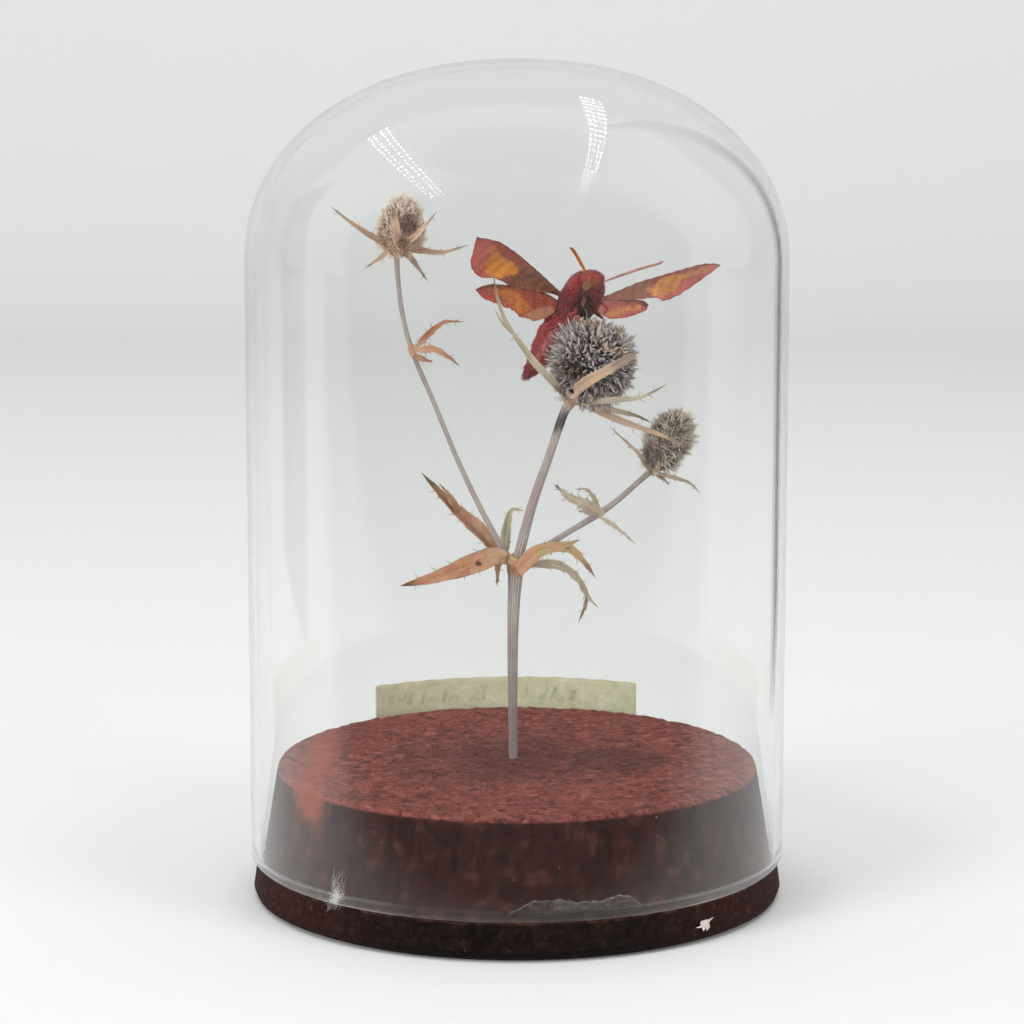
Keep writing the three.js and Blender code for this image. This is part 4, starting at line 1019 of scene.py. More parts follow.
sleeves = {
    "leaf_fork_upper_right": ([(-0.3, 0, 60.3), (-0.15, -0.1, 61.4), (0.1, -0.3, 62.6), (0.5, -0.5, 63.8)],
        [1.3, 1.62, 1.95, 1.75], 26, 1.1),
    "bract_middle_head_front": ([(9.2, -2.0, 91.8), (9.7, -2.2, 93.0), (10.3, -2.5, 94.6)], [0.8, 1.15, 2.1],
        40, 2.0),
    "bract_left_head_front": ([(-22.3, 4, 119.0), (-22.3, 4, 120.2), (-22.2, 3.9, 121.9)], [0.5, 0.7, 2.2],
        34, 1.2),
    "bract_right_head_front": ([(24.8, 2, 79.3), (25.4, 2, 79.9), (26.1, 2, 81.0)], [0.5, 0.75, 2.0], 46,
        1.9),
    "leaf_left_joint_falling": ([(-19.2, 2, 101.0), (-19.4, 2.1, 102.0), (-19.6, 2.2, 103.2)],
        [0.52, 0.66, 0.6], 8, 0.8),
    "leaf_right_joint_broad": ([(14.4, 1, 71.2), (15.1, 1, 71.7), (16.0, 1.1, 72.3)], [0.55, 0.85, 0.7], 8,
        0.8),
}
for k, (name, (path, width, facing, fold, base, teeth, bite, finish)) in enumerate(leaves.items()):
    blunt = 0.2 if name == "bract_middle_head_front" else 0.45 if name == "bract_left_head_front" else 0.75
    parts = [blade(path, width, facing, fold, base, teeth=teeth, bite=bite, blunt=blunt, seed=k),
        needles(path, width, facing, fold, base, max(3, teeth + 1), min(0.45 + 0.25 * width, 1.2), 40 + k)]
    if name in lobes:
        parts.append(blade(lobes[name][0], lobes[name][1], facing, fold, 0.8, teeth=1, bite=0.2, rows=40,
            seed=90 + k))
    if name in sleeves:
        parts.append(sheath(*sleeves[name], 60 + k))
    material, slot = leaf_finish[finish]
    put("dried_" + name, joined(*parts), material, [name])

# %% [markdown]
# ## The flower heads
# A sea holly head is an egg of some hundreds of tiny florets, each with a ring of needle-thin sepals. A
# hair system would render, but it isn't a mesh. So one spike of a few dozen faces is copied over the egg
# on a golden-angle spiral, which spreads points evenly, as the plant does. Tufts of spikes share a place.

# %% Head shapes
GOLDEN_ANGLE = 2.399963


def egg_places(base, toward, length, radius, taper, count):
    """Evenly spread places on the egg, with their outward directions and the egg's axes.

    Around = radius * sin(polar)^0.85 * (1 + taper * (0.3 - height share)).
    Height = length / 2 * (1 - cos polar).
    """
    z = unit(np.array(toward, float))
    x = unit(np.cross([0.0, 1.0, 0.3], z))
    axes = np.stack([x, np.cross(z, x), z])
    i = np.arange(count) + 0.5
    share, turn = i / count, i * GOLDEN_ANGLE
    polar = np.arccos(1 - 2 * share)
    around, height = radius * np.sin(polar) ** 0.85 * (1 + 0.3 * taper - taper * share), length * share
    spot = np.stack([around * np.cos(turn), around * np.sin(turn), height], 1)
    out = unit(np.stack([spot[:, 0] / radius**2, spot[:, 1] / radius**2, (spot[:, 2] - length / 2)
        / (length / 2) ** 2], 1))
    return np.array(base, float) + spot @ axes, out @ axes, axes


def standing(direction, seed):
    """Three axes per place: z along the direction, x and y at a random turn about it."""
    r = np.random.default_rng(seed)
    z = unit(direction)
    x = unit(np.cross(z, unit(r.normal(size=z.shape))))
    return np.stack([x, np.cross(z, x), z], 1)


# One filament: a four-sided needle. One calyx tooth: a flat curved blade. One bud: a plump drop.
filament = tube([(0, 0, 0), (0.03, 0, 0.5), (0, 0, 1)], lambda t, a: 0.5 * (1.02 - t) ** 0.6, 4, 5)
tooth = tube([(0, 0, 0), (0.1, 0, 0.45), (0.34, 0, 1)], lambda t, a: 0.5 * (1.04 - t) ** 0.7 * (0.5 + t)
    * (0.25 + 0.75 * np.abs(np.cos(a))), 6, 5, facing=(1, 0, 0))
plump = lambda t, a: 0.5 * np.sin(np.pi * np.clip(t * 0.94 + 0.06, 0, 1)) ** 0.7
bud = tube([(0, 0, 0), (0.05, 0, 0.5), (0, 0, 1)], plump, 8, 7)


def head(base, toward, length, radius, taper, tufts, each, thin, long, spread, gather, rise, lobe, buds,
    seed):
    """An egg-shaped core with tufts on it, and five calyx teeth round each tuft.

    A filament starts at a spot within spread of its tuft's middle and aims at ray * long - gather * spot:
    with gather 1 the tips meet in a point, below 0 they splay.
    """
    r = np.random.default_rng(seed)
    where, out, axes = egg_places(base, toward, length - 1.25 * long, radius - 0.9 * long, taper, tufts)
    where = where + axes[2] * 0.5 * long
    p, a = np.linspace(0.02, 1, 40)[:, None] * np.pi * 0.995, circle(60)
    lump = 1 - 0.08 * np.abs(np.sin(9 * a) * np.sin(7 * p))
    share = (1 - np.cos(p)) / 2
    core_r, core_h = (radius - 0.75 * long) * np.sin(p) ** 0.85 * lump * (1 + 0.3 * taper - taper
        * share), length * share * 0.86 + 0.2
    core = np.array(base) + core_r[..., None] * (np.cos(a)[:, None] * axes[0] + np.sin(a)[:, None]
        * axes[1]) + (core_h + 0 * a)[..., None] * axes[2]
    shapes = [skin(core, along=np.zeros((40, 1)), tint=np.full((40, 1), 0.2), tan=np.zeros((40, 1)))]
    rays = unit(out + rise * axes[2] + 0.24 * r.normal(size=out.shape))
    own = r.uniform(size=tufts)
    vigour = (0.55 + 0.55 * own ** 0.7) * r.uniform(0.8, 1.12, tufts)
    turn = standing(rays, seed + 2)
    disc = 0.55 * spread * r.normal(size=(tufts, each, 2))
    spot = disc[..., :1] * turn[:, None, 0] + disc[..., 1:] * turn[:, None, 1]
    at = (where[:, None] + spot).reshape(-1, 3)
    aim = rays[:, None] * (long * vigour)[:, None, None] - gather * spot + 0.09 * long * r.normal(
        size=spot.shape)
    tall = np.linalg.norm(aim, axis=-1) * r.uniform(0.72, 1.08, (tufts, each))
    size = np.stack([thin * r.uniform(0.7, 1.3, tall.shape)] * 2 + [tall], -1).reshape(-1, 3)
    tint = np.clip(own[:, None] * 0.8 + 0.18 * r.normal(size=tall.shape) + 0.1, 0, 1).ravel()
    shapes.append(copies(filament, at, standing(aim.reshape(-1, 3), seed + 1), size, tint=tint,
        tan=np.zeros(len(at))))
    around = np.repeat(np.arange(tufts), 5)
    angle = np.tile(np.arange(5) * 2 * np.pi / 5, tufts) + r.uniform(-0.3, 0.3, 5 * tufts)
    x = np.cos(angle)[:, None] * turn[around, 0] + np.sin(angle)[:, None] * turn[around, 1]
    z = unit(turn[around, 2] + r.uniform(0.1, 0.75, (len(x), 1)) * x)
    y = unit(np.cross(z, x))
    leafy = np.stack([np.cross(y, z), y, z], 1)
    big = np.stack([np.full(len(around), lobe[0])] * 2 + [lobe[1] * vigour[around] * r.uniform(0.6, 1.3,
        len(around))], 1)
    shapes.append(copies(tooth, where[around] + 0.55 * spread * x + 0.15 * long * rays[around], leafy, big,
        tint=np.clip(own[around] * 0.5 + r.uniform(0.1, 0.7, len(around)), 0, 1), tan=np.zeros(len(around))))
    if len(buds):
        spots, number = np.array([b[:3] for b in buds], float), 6
        aims = unit(spots - np.array(base) - axes[2] * length * 0.45)
        at = np.repeat(spots - aims * 0.9, number, 0) + 0.28 * r.normal(size=(number * len(spots), 3))
        aim = np.repeat(aims, number, 0) + 0.55 * r.normal(size=at.shape)
        sizes = np.stack([r.uniform(0.28, 0.46, len(at))] * 2 + [r.uniform(0.6, 1.3, len(at))],
            1) * np.repeat([b[3] for b in buds], number)[:, None]
        shapes.append(copies(bud, at, standing(aim, seed + 3), sizes, tint=r.uniform(0.2, 1, len(at)),
            tan=np.ones(len(at))))
    return joined(*shapes)


# %% [markdown]
# The heads share one finish with different colours. It is dark at the foot of every spike and on the core
# under them, painted shade in the gaps, and pale at its tip, and each spike has its own tint, so the gaps
# read deep. The petals are tan.

# %% Head finish
def floret_finish(name, deep, body, light, tip, petal, petal_light, patch_at, patch_size, patch_colour, foot):
    """Dark at each filament's foot and on the core under them, painted shade in the gaps; its own tint in the
    middle, pale at the tip; tan petals.

    One stained patch lies round patch_at, and everything below the height foot is tan.
    """
    material, t, shader = shaded(name, 0.75, gloss=0.25, Sheen_Weight=0.05)
    along, tint, tan, here = mark(t, "along"), mark(t, "tint"), mark(t, "tan"), place(t)
    patch = grain(t, here, 330.0, 4.0, 0.6)
    own = blended(t, between(t, plus(t, patch, 0.4, times(t, tint, 0.7)), 0.25, 0.8), tone(*body),
        tone(*light))
    own = blended(t, between(t, along, 0.45, 1.0, 0.0, 0.75), own, tone(*tip))
    stained = between(t, plus(t, patch, patch_size * 0.8, distance(t, here, patch_at)), patch_size * 0.9,
        patch_size * 1.7, 0.85, 0.0)
    own = blended(t, stained, own, blended(t, tint, tone(*patch_colour),
        tone(*(c * 0.72 for c in patch_colour))))
    # Painted shade: the foot of every filament and the whole core take the dark root colour, so the gaps read
    # deep.
    colour = blended(t, between(t, along, 0.0, 0.4), tone(*deep), own)
    colour = blended(t, between(t, coordinate(t, here, 2), foot + 0.006, foot, 0.0, 0.75), colour,
        blended(t, tint, tone(176, 140, 112), tone(232, 200, 170)))
    brown = between(t, grain(t, here, 170.0, 3.0, 0.5), 0.6, 0.68, 0.0, 0.5)
    colour = blended(t, brown, colour, tone(112, 88, 70))
    petals = blended(t, between(t, plus(t, tint, 0.6, times(t, along, 0.5)), 0.2, 0.9), tone(*petal),
        tone(*petal_light))
    colour = blended(t, tan, colour, petals)
    dusty = dusted(t, here, colour, (200, 194, 190), 0.25, 1300.0)
    wire(t, shader, Base_Color=dusty, Normal=bumped(t, grain(t, here, 4200.0, 3.0), 0.05, 0.6),
        Roughness=between(t, patch, 0.3, 0.7, 0.65, 0.85))
    return material


petal_spots = [(11.9, -5.9, 108.8, 1.0), (14.1, -6.9, 108.6, 1.1), (15.1, -9.6, 106.3, 1.0),
    (16.4, -10.5, 104.4, 0.9), (17.3, -10.3, 104.0, 1.1), (19.7, -9.0, 103.3, 1.1), (19.5, -5.0, 107.0, 1.0),
    (10.9, -9.6, 97.6, 0.8)]
heads = {
    "middle": (dict(base=(10.7, -2.3, 93.5), toward=(0.43, -0.07, 0.9), length=15.8, radius=8.45, taper=0.0,
        tufts=190, each=17, thin=0.2, long=2.6, spread=0.95, gather=-0.45, rise=0.12, lobe=(0.85, 2.2),
        buds=petal_spots, seed=31), dict(deep=(52, 42, 40), body=(126, 111, 106), light=(168, 155, 154),
        tip=(206, 195, 190), petal=(150, 124, 106), petal_light=(198, 170, 144), patch_at=(0.0095, -0.0100,
        0.0998), patch_size=0.0026, patch_colour=(124, 92, 72), foot=0.0), "flower"),
    "left": (dict(base=(-22.1, 4.0, 119.3), toward=(0.12, -0.05, 1), length=12.3, radius=5.6, taper=0.5,
        tufts=120, each=18, thin=0.13, long=2.2, spread=0.8, gather=0.9, rise=0.7, lobe=(0.4, 1.3), buds=[],
        seed=32), dict(deep=(148, 122, 108), body=(204, 182, 164), light=(228, 212, 196), tip=(244, 234, 222),
        petal=(176, 140, 108), petal_light=(206, 176, 140), patch_at=(-0.0198, -0.0006, 0.1256),
        patch_size=0.0024, patch_colour=(146, 98, 88), foot=0.1195), "seed_head"),
    "right": (dict(base=(25.2, 2.0, 80.0), toward=(0.5, 0.02, 0.87), length=13.0, radius=5.5, taper=0.2,
        tufts=105, each=18, thin=0.13, long=2.5, spread=0.9, gather=0.9, rise=0.35, lobe=(0.4, 1.2), buds=[],
        seed=33), dict(deep=(116, 100, 94), body=(174, 158, 148), light=(206, 194, 180), tip=(232, 222, 208),
        petal=(150, 124, 98), petal_light=(190, 168, 140), patch_at=(0.0243, -0.0012, 0.0828),
        patch_size=0.0026, patch_colour=(122, 106, 104), foot=0.0), "seed_head"),
}
for side, (shape, colours, slot) in heads.items():
    finish = floret_finish(side + "_head_florets", **colours)
    put(side + "_head_of_florets", head(**shape), finish, ["head_" + side])

# %% [markdown]
# ## The moth's place
# The moth is made in its own frame, where X is its right, Y runs forward and Z is up from its back. One
# turn and one move then set it on the flower, the same as in the CAD model.

# %% Moth frame
def turn_about(axis, degrees):
    """The rotation matrix about x, y or z."""
    c, s = math.cos(math.radians(degrees)), math.sin(math.radians(degrees))
    i, j = {"x": (1, 2), "y": (2, 0), "z": (0, 1)}[axis]
    m = np.eye(3)
    m[i, i], m[j, j], m[i, j], m[j, i] = c, c, -s, s
    return m


MOTH_AT = [12.6, 4.6, 113.0]
moth_turn = turn_about("z", -148) @ turn_about("x", 42) @ turn_about("y", -8.2)


def settle(shape):
    """Carries a shape from the moth's own frame to its place on the flower."""
    return {**shape, "points": shape["points"] @ moth_turn.T + MOTH_AT}


# %% [markdown]
# ## Body and fur
# A hawk moth looks plush: its body is covered in long scales that lie backwards. Particle hair would be
# the usual way, but the part has to be plain meshes. So the skin is a smooth loft of the CAD's rings, and
# some fifteen thousand tiny tapered strands are laid on it, combed towards the tail and lifted a little.

# %% Body skin and fur
body_rings = np.array([
    (1.9, 8.0, -2.7, 0.8, 0.8), (1.8, 7.4, -2.5, 1.8, 1.6), (1.7, 6.3, -2.1, 2.4, 2.2), (1.5, 5.2, -1.8, 2.3,
        2.2), (1.3, 4.1, -1.5, 3.2, 3.0),
    (1.1, 2.2, -1.3, 3.8, 3.6), (0.9, -0.6, -1.3, 4.0, 3.7), (1.0, -3.3, -1.5, 3.7, 3.4), (1.6, -5.2, -2.0,
        3.2, 3.0), (2.6, -7.2, -2.8, 3.3, 3.0),
    (3.6, -9.8, -4.0, 3.2, 2.9), (4.5, -12.4, -5.3, 2.7, 2.5), (5.4, -14.7, -6.4, 1.9, 1.7), (6.2, -16.3,
        -7.2, 1.1, 1.0),
])


def body_at(s, angle, shrink=0.0):
    """A point on the body: the five ring numbers as smooth curves from face to tail, then an ellipse."""
    r = np.concatenate([curve_at(body_rings[:, :3], s), curve_at(np.pad(body_rings[:, 3:], ((0, 0), (0, 1))),
        s)[:, :2]], 1)
    waist = 1 - 0.04 * np.cos(np.clip(s * 14 - 8, 0, 6) * 2 * np.pi) * (s > 0.57)
    return np.stack([r[:, 0] + (r[:, 3] * waist - shrink) * np.cos(angle), r[:, 1],
        r[:, 2] + (r[:, 4] * waist - shrink) * np.sin(angle)], 1)


rows, cols = 110, 64
s, angle = np.meshgrid(np.linspace(0, 1, rows), circle(cols), indexing="ij")
rings = body_at(s.ravel(), angle.ravel(), 0.35).reshape(rows, cols, 3)


def coat_marks(p, angle_deg):
    """Where each colour of the coat lies, from 0 to 1.

    An orange face, a dark stripe under the thorax, a pale streak on the belly, a bright crimson side.
    """
    y = p[:, 1]
    gap = np.abs((angle_deg + 46 + 180) % 360 - 180)
    middle, half = np.interp(y, [-2, 2, 5], [0.8, 2.0, 2.9]), np.interp(y, [-2, 2, 5], [1.9, 1.25, 0.6])
    return {
        "face": np.clip((y - 6.0) / 0.8, 0, 1) * np.clip(1.8 - np.abs(p[:, 0] - 2.7) / 0.8, 0,
            1) * np.clip((-2.4 - p[:, 2]) / 0.7, 0, 1),
        "stripe": np.clip(1.5 - np.abs(p[:, 0] - middle) / half, 0, 1) ** 0.7 * np.clip((5.6 - y) / 0.9, 0,
            1) * np.clip((y + 3.2) / 1.2, 0, 1) * (p[:, 2] < -2.6),
        "pale": np.clip(1.3 - gap / 15, 0, 1) * np.clip((-4.6 - y) / 0.8, 0, 1) * np.clip((y + 15) / 3, 0, 1),
        "bright": np.clip(1.5 - np.abs((angle_deg + 8 + 180) % 360 - 180) / 45, 0, 1) * np.clip((y - 0.5)
            / 1.5, 0, 1),
    }


flat = rings.reshape(-1, 3)
zones = coat_marks(flat, np.degrees(angle.ravel()))
under = skin(rings, (body_rings[0, :3] + [0, 0.2, 0], (6.6, -16.8, -7.5)), along=np.full((rows, 1), 0.42),
    tint=np.full((rows, 1), 0.3), **{k: v.reshape(rows, cols) for k, v in zones.items()})

n = 14800
s = np.clip(rng.beta(1.15, 1.05, n), 0.004, 0.995)
angle = rng.uniform(0, 2 * np.pi, n)
foot = body_at(s, angle, 0.4)
ahead = unit(body_at(np.clip(s - 0.01, 0, 1), angle) - body_at(np.clip(s + 0.01, 0, 1), angle))
spine = curve_at(body_rings[:, :3], s)
outwards = unit(foot - spine)
combed = unit(-ahead + outwards * (0.2 + 0.2 * rng.uniform(size=(n, 1))) + 0.1 * rng.normal(size=(n, 3)))
front = (s < 0.08)[:, None]
combed = np.where(front, unit(outwards * 0.8 - ahead * 0.7 + 0.25 * rng.normal(size=(n, 3))), combed)
length = np.interp(s, [0, 0.08, 0.2, 0.34, 0.5, 0.6, 0.85, 0.97, 1], [0.35, 0.45, 0.7, 1.0, 1.0, 0.75, 0.7,
    1.3, 2.0]) * rng.uniform(0.6, 1.2, n)
strand = tube([(0, 0, 0), (0, 0.03, 0.5), (0, -0.03, 1)], lambda t, a: 0.48 * (1.0 - 0.8 * t), 3, 2)
fur = copies(strand, foot, standing(combed, 7),
    np.stack([rng.uniform(0.16, 0.26, n), rng.uniform(0.16, 0.26, n), length], 1), tint=rng.uniform(size=n),
    **coat_marks(foot, np.degrees(angle)))


# %% [markdown]
# The eyes are low domes sunk in the fur, a curled tongue shows under the chest, and a cream tuft sits at the
# foot of the orange antenna. They belong to the same piece as the fur, with their own marks.

# %% Eyes, tongue and tuft
def ball(centre, radii, rows=20, cols=28, **marks):
    """A squashed sphere: radii times (sin p cos a, sin p sin a, cos p)."""
    p, a = np.meshgrid(np.linspace(0.08, np.pi - 0.08, rows), circle(cols), indexing="ij")
    rings = np.array(centre) + np.stack([radii[0] * np.sin(p) * np.cos(a), radii[1] * np.sin(p) * np.sin(a),
        radii[2] * np.cos(p)], -1)
    return skin(rings, **{k: np.full((rows, 1), v) for k, v in marks.items()})


eyes = [ball((3.45, 6.7, -1.3), (0.4, 0.6, 0.6), eye=1.0, along=0.5),
    ball((-0.05, 6.5, -2.0), (0.4, 0.65, 0.65), eye=1.0, along=0.5)]
turns = np.linspace(0, 1, 60)
coil = np.stack([2.7 + (0.95 * (1 - 0.75 * turns)) * np.cos(turns * 11), -1.7 + (0.95 * (1 - 0.75 * turns))
    * np.sin(turns * 11), -5.4 - 0.25 * turns], 1)
curl = tube(coil[::3], lambda t, a: 0.2 * (1.1 - 0.6 * t), 8, 70, facing=(0, 0, 1))
curl["marks"].update({"pale": np.ones(len(curl["points"])), "tint": np.full(len(curl["points"]), 0.9)})
n = 260
tuft_foot = np.array([3.35, 6.3, -3.5]) + rng.normal(size=(n, 3)) * [0.28, 0.4, 0.2]
tuft = copies(strand, tuft_foot, standing(np.array([0.1, -0.7, -0.5]) + 0.3 * rng.normal(size=(n, 3)), 9),
    np.stack([np.full(n, 0.15), np.full(n, 0.15), rng.uniform(0.5, 1.0, n)], 1), tint=rng.uniform(0.5, 1, n),
    cream=np.ones(n))

plush, t, shader = shaded("plush_fur", 0.72, gloss=0.2, Sheen_Weight=0.22, Sheen_Roughness=0.5)
here, along, tint = place(t), mark(t, "along"), mark(t, "tint")
patch = grain(t, here, 240.0, 4.0, 0.6)
mixture = plus(t, patch, 0.6, times(t, tint, 0.5))
colour = blended(t, between(t, mixture, 0.3, 0.72), tone(90, 17, 22), tone(146, 43, 45))
colour = blended(t, times(t, mark(t, "bright"), 0.8), colour, tone(170, 32, 40))
back_half = distance(t, here, (0.0095, 0.004, 0.1015))
colour = layered(
    t, colour,
    (between(t, back_half, 0.012, 0.005, 0.0, 0.75), blended(t, tint, tone(176, 54, 62), tone(208, 98, 102))),
    (mark(t, "face"), blended(t, mixture, tone(120, 50, 28), tone(192, 102, 58))),
    (times(t, mark(t, "pale"), between(t, mixture, 0.3, 0.6, 0.1, 1.0)), tone(222, 142, 134)),
    (mark(t, "cream"), tone(172, 122, 82)),
    (mark(t, "stripe"), blended(t, tint, tone(28, 16, 13), tone(68, 40, 30))),
    (between(t, along, 0.0, 0.4, 0.6, 0.0), tone(90, 24, 28)),
    (between(t, along, 0.7, 1.0, 0.0, 0.35), tone(222, 150, 144)),
    (mark(t, "eye"), tone(120, 60, 50)),
)
wire(t, shader, Base_Color=colour, Roughness=between(t, mark(t, "eye"), 0.0, 1.0, 0.78, 0.12),
    Normal=bumped(t, grain(t, here, 5200.0, 3.0), 0.05, 0.5))
put("moth_body_in_fur", settle(joined(under, fur, *eyes, curl, tuft)), plush, ["moth_body"])

# %% [markdown]
# ## Wings
# Each wing is a thin closed sheet between two curves: the straight front edge, and the hind edge that
# turns the corner and runs up the ragged outer margin to the apex. Rows of points join the two curves at
# equal shares of their lengths. The colour patches are outlines in the wing's own plane, and each point
# keeps its signed distance to them, so that the finish can feather their edges with fine scales.

# %% Wing shape
def by_length(points, share):
    """Points on a smooth curve at shares of its length."""
    dense = curve_at([(x, y, 0) for x, y in points], np.linspace(0, 1, 600))
    run = np.append(0, np.cumsum(np.linalg.norm(np.diff(dense, axis=0), axis=1)))
    return np.stack([np.interp(share * run[-1], run, dense[:, k]) for k in (0, 1)], 1)


def edge_gap(xy, line, closed):
    """Least distance from each point to a chain of straight pieces.

    Inside a closed chain it is negative, found by counting crossings.
    """
    p = np.array(line, float)
    q = np.roll(p, -1, 0) if closed else p[1:]
    p = p if closed else p[:-1]
    d, e = xy[:, None] - p, q - p
    w = np.clip((d * e).sum(-1) / (e * e).sum(-1), 0, 1)
    gap = np.linalg.norm(d - w[..., None] * e, axis=-1).min(1)
    if not closed:
        return gap
    y, x = xy[:, 1:], xy[:, :1]
    over = ((p[:, 1] > y) != (q[:, 1] > y)) & (x < e[:, 0] * (y - p[:, 1]) / np.where(e[:, 1] == 0, 1e-9,
        e[:, 1]) + p[:, 0])
    return np.where(over.sum(1) % 2 == 1, -gap, gap)


def wing(costa, dorsum, termen, root, camber, side, sweep, lift, twist, yellow, pale, seed, ragged=0.2,
    rows=190, cols=46):
    """Point (s, v) = front(s) * (1 - v) + hind(s) * v, bowed up by the camber.

    The veins are low ridges, and the outer margin is scalloped.
    """
    r = np.random.default_rng(seed)
    s = np.linspace(0, 1, rows) ** 0.9 * 0.996
    hind_line = list(dorsum) + list(termen)[1:]
    front, hind = by_length(costa, s), by_length(hind_line, s)
    outer = np.clip((1.5 - edge_gap(hind, termen, False)) / 1.4, 0, 1) * np.clip((1 - s) * 12, 0, 1)
    notch = np.abs(np.sin(s * 61 + 2 * np.sin(s * 17 + seed))) ** 3 * 0.55 + 0.45 * np.repeat(
        r.uniform(size=rows // 2 + 1), 2)[:rows]
    hind = hind + unit(front - hind) * (ragged * notch * outer)[:, None]
    v = np.concatenate([np.linspace(0, 1, cols), np.linspace(1, 0, cols)[1:-1]])
    face = np.concatenate([np.ones(cols), -np.ones(cols - 2)])
    xy = front[:, None] * (1 - v)[:, None] + hind[:, None] * v[:, None]
    out = np.clip(xy[..., 0] / 23, 0, 1)
    ray = np.degrees(np.arctan2(xy[..., 1] + 0.4, xy[..., 0] + 2.5))
    veins = np.exp(-(((ray + 1.5) % 4.2 - 2.1) / 0.42) ** 2) * np.clip(xy[..., 0] / 6, 0, 1)
    wave = 0.14 * np.sin(xy[..., 0] * 0.9 + seed) * v * np.clip(out * 3, 0, 1) + 0.06 * np.sin(xy[..., 0]
        * 3.1 + 4 * v)
    rise = camber * (0.4 + 0.9 * np.sin(np.pi * out**0.8)) * np.sin(np.pi * np.clip(v, 0,
        1)) ** 0.8 + wave + 0.02 * veins
    thick = 0.075 * (1 - (2 * v - 1) ** 8) + 0.012
    points = np.concatenate([xy, (rise + face * thick)[..., None]], -1)
    turned = points @ (turn_about("z", sweep) @ turn_about("y", -lift) @ turn_about("x", twist)).T + np.array(
        root)
    turned[..., 0] *= side
    flat = xy.reshape(-1, 2)
    shape = lambda a: a.reshape(rows, -1)
    return skin(
        turned, along=s[:, None], span=xy[..., 0], ray=ray / 10, vein=veins,
        rim=shape(edge_gap(flat, termen, False)), fore=shape(edge_gap(flat, costa, False)),
        yellow=shape(edge_gap(flat, yellow, True)), pale=shape(edge_gap(flat, pale, True)),
    )


# %% [markdown]
# The scales that colour a wing are far too small to model. The finish starts from the brown or grey of the
# wing's root, lays the rose margin, the red streak and the yellow patch over it, and pushes each border
# with noise that is stretched along the veins. A brown line runs down the front edge.

# %% Wing finish
def scale_finish(name, root, mid, streak, patch, patch_deep, margin, rim_dark, costa, pale, veil,
    reach=(8.0, 13.0), band=4.0):
    material, t, shader = shaded(name, 0.7, gloss=0.25, Sheen_Weight=0.12, Subsurface_Weight=0.08,
        Subsurface_Scale=0.0004)
    span, ray, here = mark(t, "span"), mark(t, "ray"), place(t)
    fan = node(t, "CombineXYZ", {0: times(t, span, 0.5), 1: times(t, ray, 9.0), 2: 0.0})
    feather = grain(t, fan, 1.0, 4.0, 0.62)
    powder = grain(t, here, 3800.0, 2.0, 0.6)
    cloud = grain(t, here, 210.0, 4.0, 0.55)
    push = times(t, calc(t, "SUBTRACT", feather, 0.5), 4.2)
    colour = blended(t, between(t, calc(t, "ADD", span, push), reach[0], reach[1]), tone(*root), tone(*mid))
    fore = mark(t, "fore")
    red = times(t, between(t, calc(t, "ADD", fore, times(t, push, 0.3)), 2.4, 0.7),
        between(t, span, 6.0, 10.5))
    colour = blended(t, red, colour, tone(*streak))
    rim = mark(t, "rim")
    colour = blended(t, between(t, calc(t, "ADD", rim, times(t, push, 0.5)), band, band - 1.7), colour,
        tone(*margin))
    gap = calc(t, "ADD", mark(t, "yellow"), times(t, push, 0.8))
    gold = blended(t, between(t, cloud, 0.38, 0.62), tone(*patch), tone(*patch_deep))
    colour = layered(
        t, colour,
        (between(t, gap, 0.3, -0.3), gold),
        (between(t, calc(t, "ADD", mark(t, "pale"), times(t, push, 0.25)), 0.4, -0.5, 0.0, 0.9), tone(*pale)),
        (between(t, cloud, 0.5, 0.72, 0.0, veil), tone(188, 158, 150)),
        (times(t, mark(t, "vein"), 0.1), tone(*rim_dark)),
        (between(t, calc(t, "ADD", rim, times(t, push, 0.1)), 0.5, 0.1, 0.0, 0.7), tone(*rim_dark)),
        (between(t, calc(t, "ADD", fore, times(t, push, 0.04)), 0.42, 0.16), tone(*costa)),
        (between(t, powder, 0.35, 0.65, 0.0, 0.16), tone(235, 190, 160)),
        (between(t, powder, 0.45, 0.3, 0.0, 0.25), tone(50, 24, 22)),
    )
    wire(t, shader, Base_Color=colour, Roughness=between(t, feather, 0.3, 0.7, 0.6, 0.8),
        Normal=bumped(t, plus(t, feather, 0.6, times(t, powder, 0.4)), 0.09, 0.7))
    return material


rf_costa = [(-1.3, -0.35), (0.3, -0.2), (3.98, 0.16), (7.2, 0.5), (10.24, 0.71), (13.27, 0.93), (16.0, 0.91),
    (18.36, 0.75), (19.94, 0.09), (21.23, -0.79), (22.24, -1.61)]
rf_termen = [(13.03, -8.58), (14.88, -8.4), (16.4, -7.89), (17.97, -6.88), (19.11, -5.43), (20.32, -4.06),
    (21.64, -2.57), (22.24, -1.61)]
rf_dorsum = [(-1.3, -1.3), (0.3, -1.6), (1.63, -2.51), (2.98, -3.71), (4.22, -4.22), (5.63, -5.0),
    (7.03, -5.8), (8.69, -6.05), (10.21, -6.33), (11.44, -7.1), (12.25, -8.0), (13.03, -8.58)]
rf_yellow = [(18.51, -1.55), (17.96, -0.95), (16.3, -1.57), (14.87, -2.16), (13.53, -2.05), (11.73, -1.71),
    (10.3, -1.72), (9.35, -2.4), (8.83, -3.19), (9.5, -4.47), (10.33, -5.92), (11.51, -6.93), (12.74, -7.44),
    (13.69, -7.11), (14.07, -6.17), (15.16, -5.72), (15.25, -4.73), (16.13, -3.53), (17.49, -2.86)]
lf_costa = [(-0.9, -0.9), (1.65, -0.56), (3.9, -0.12), (6.84, 0.36), (10.39, 0.4), (13.94, 0.36),
    (16.62, 0.28), (19.31, 0.09), (21.16, -0.38), (23.09, -1.46), (24.4, -2.7)]
lf_termen = [(12.76, -8.79), (13.73, -8.7), (14.96, -8.45), (16.75, -8.2), (18.11, -7.6), (19.44, -6.6),
    (20.56, -5.5), (21.67, -4.45), (23.34, -3.42), (24.4, -2.7)]
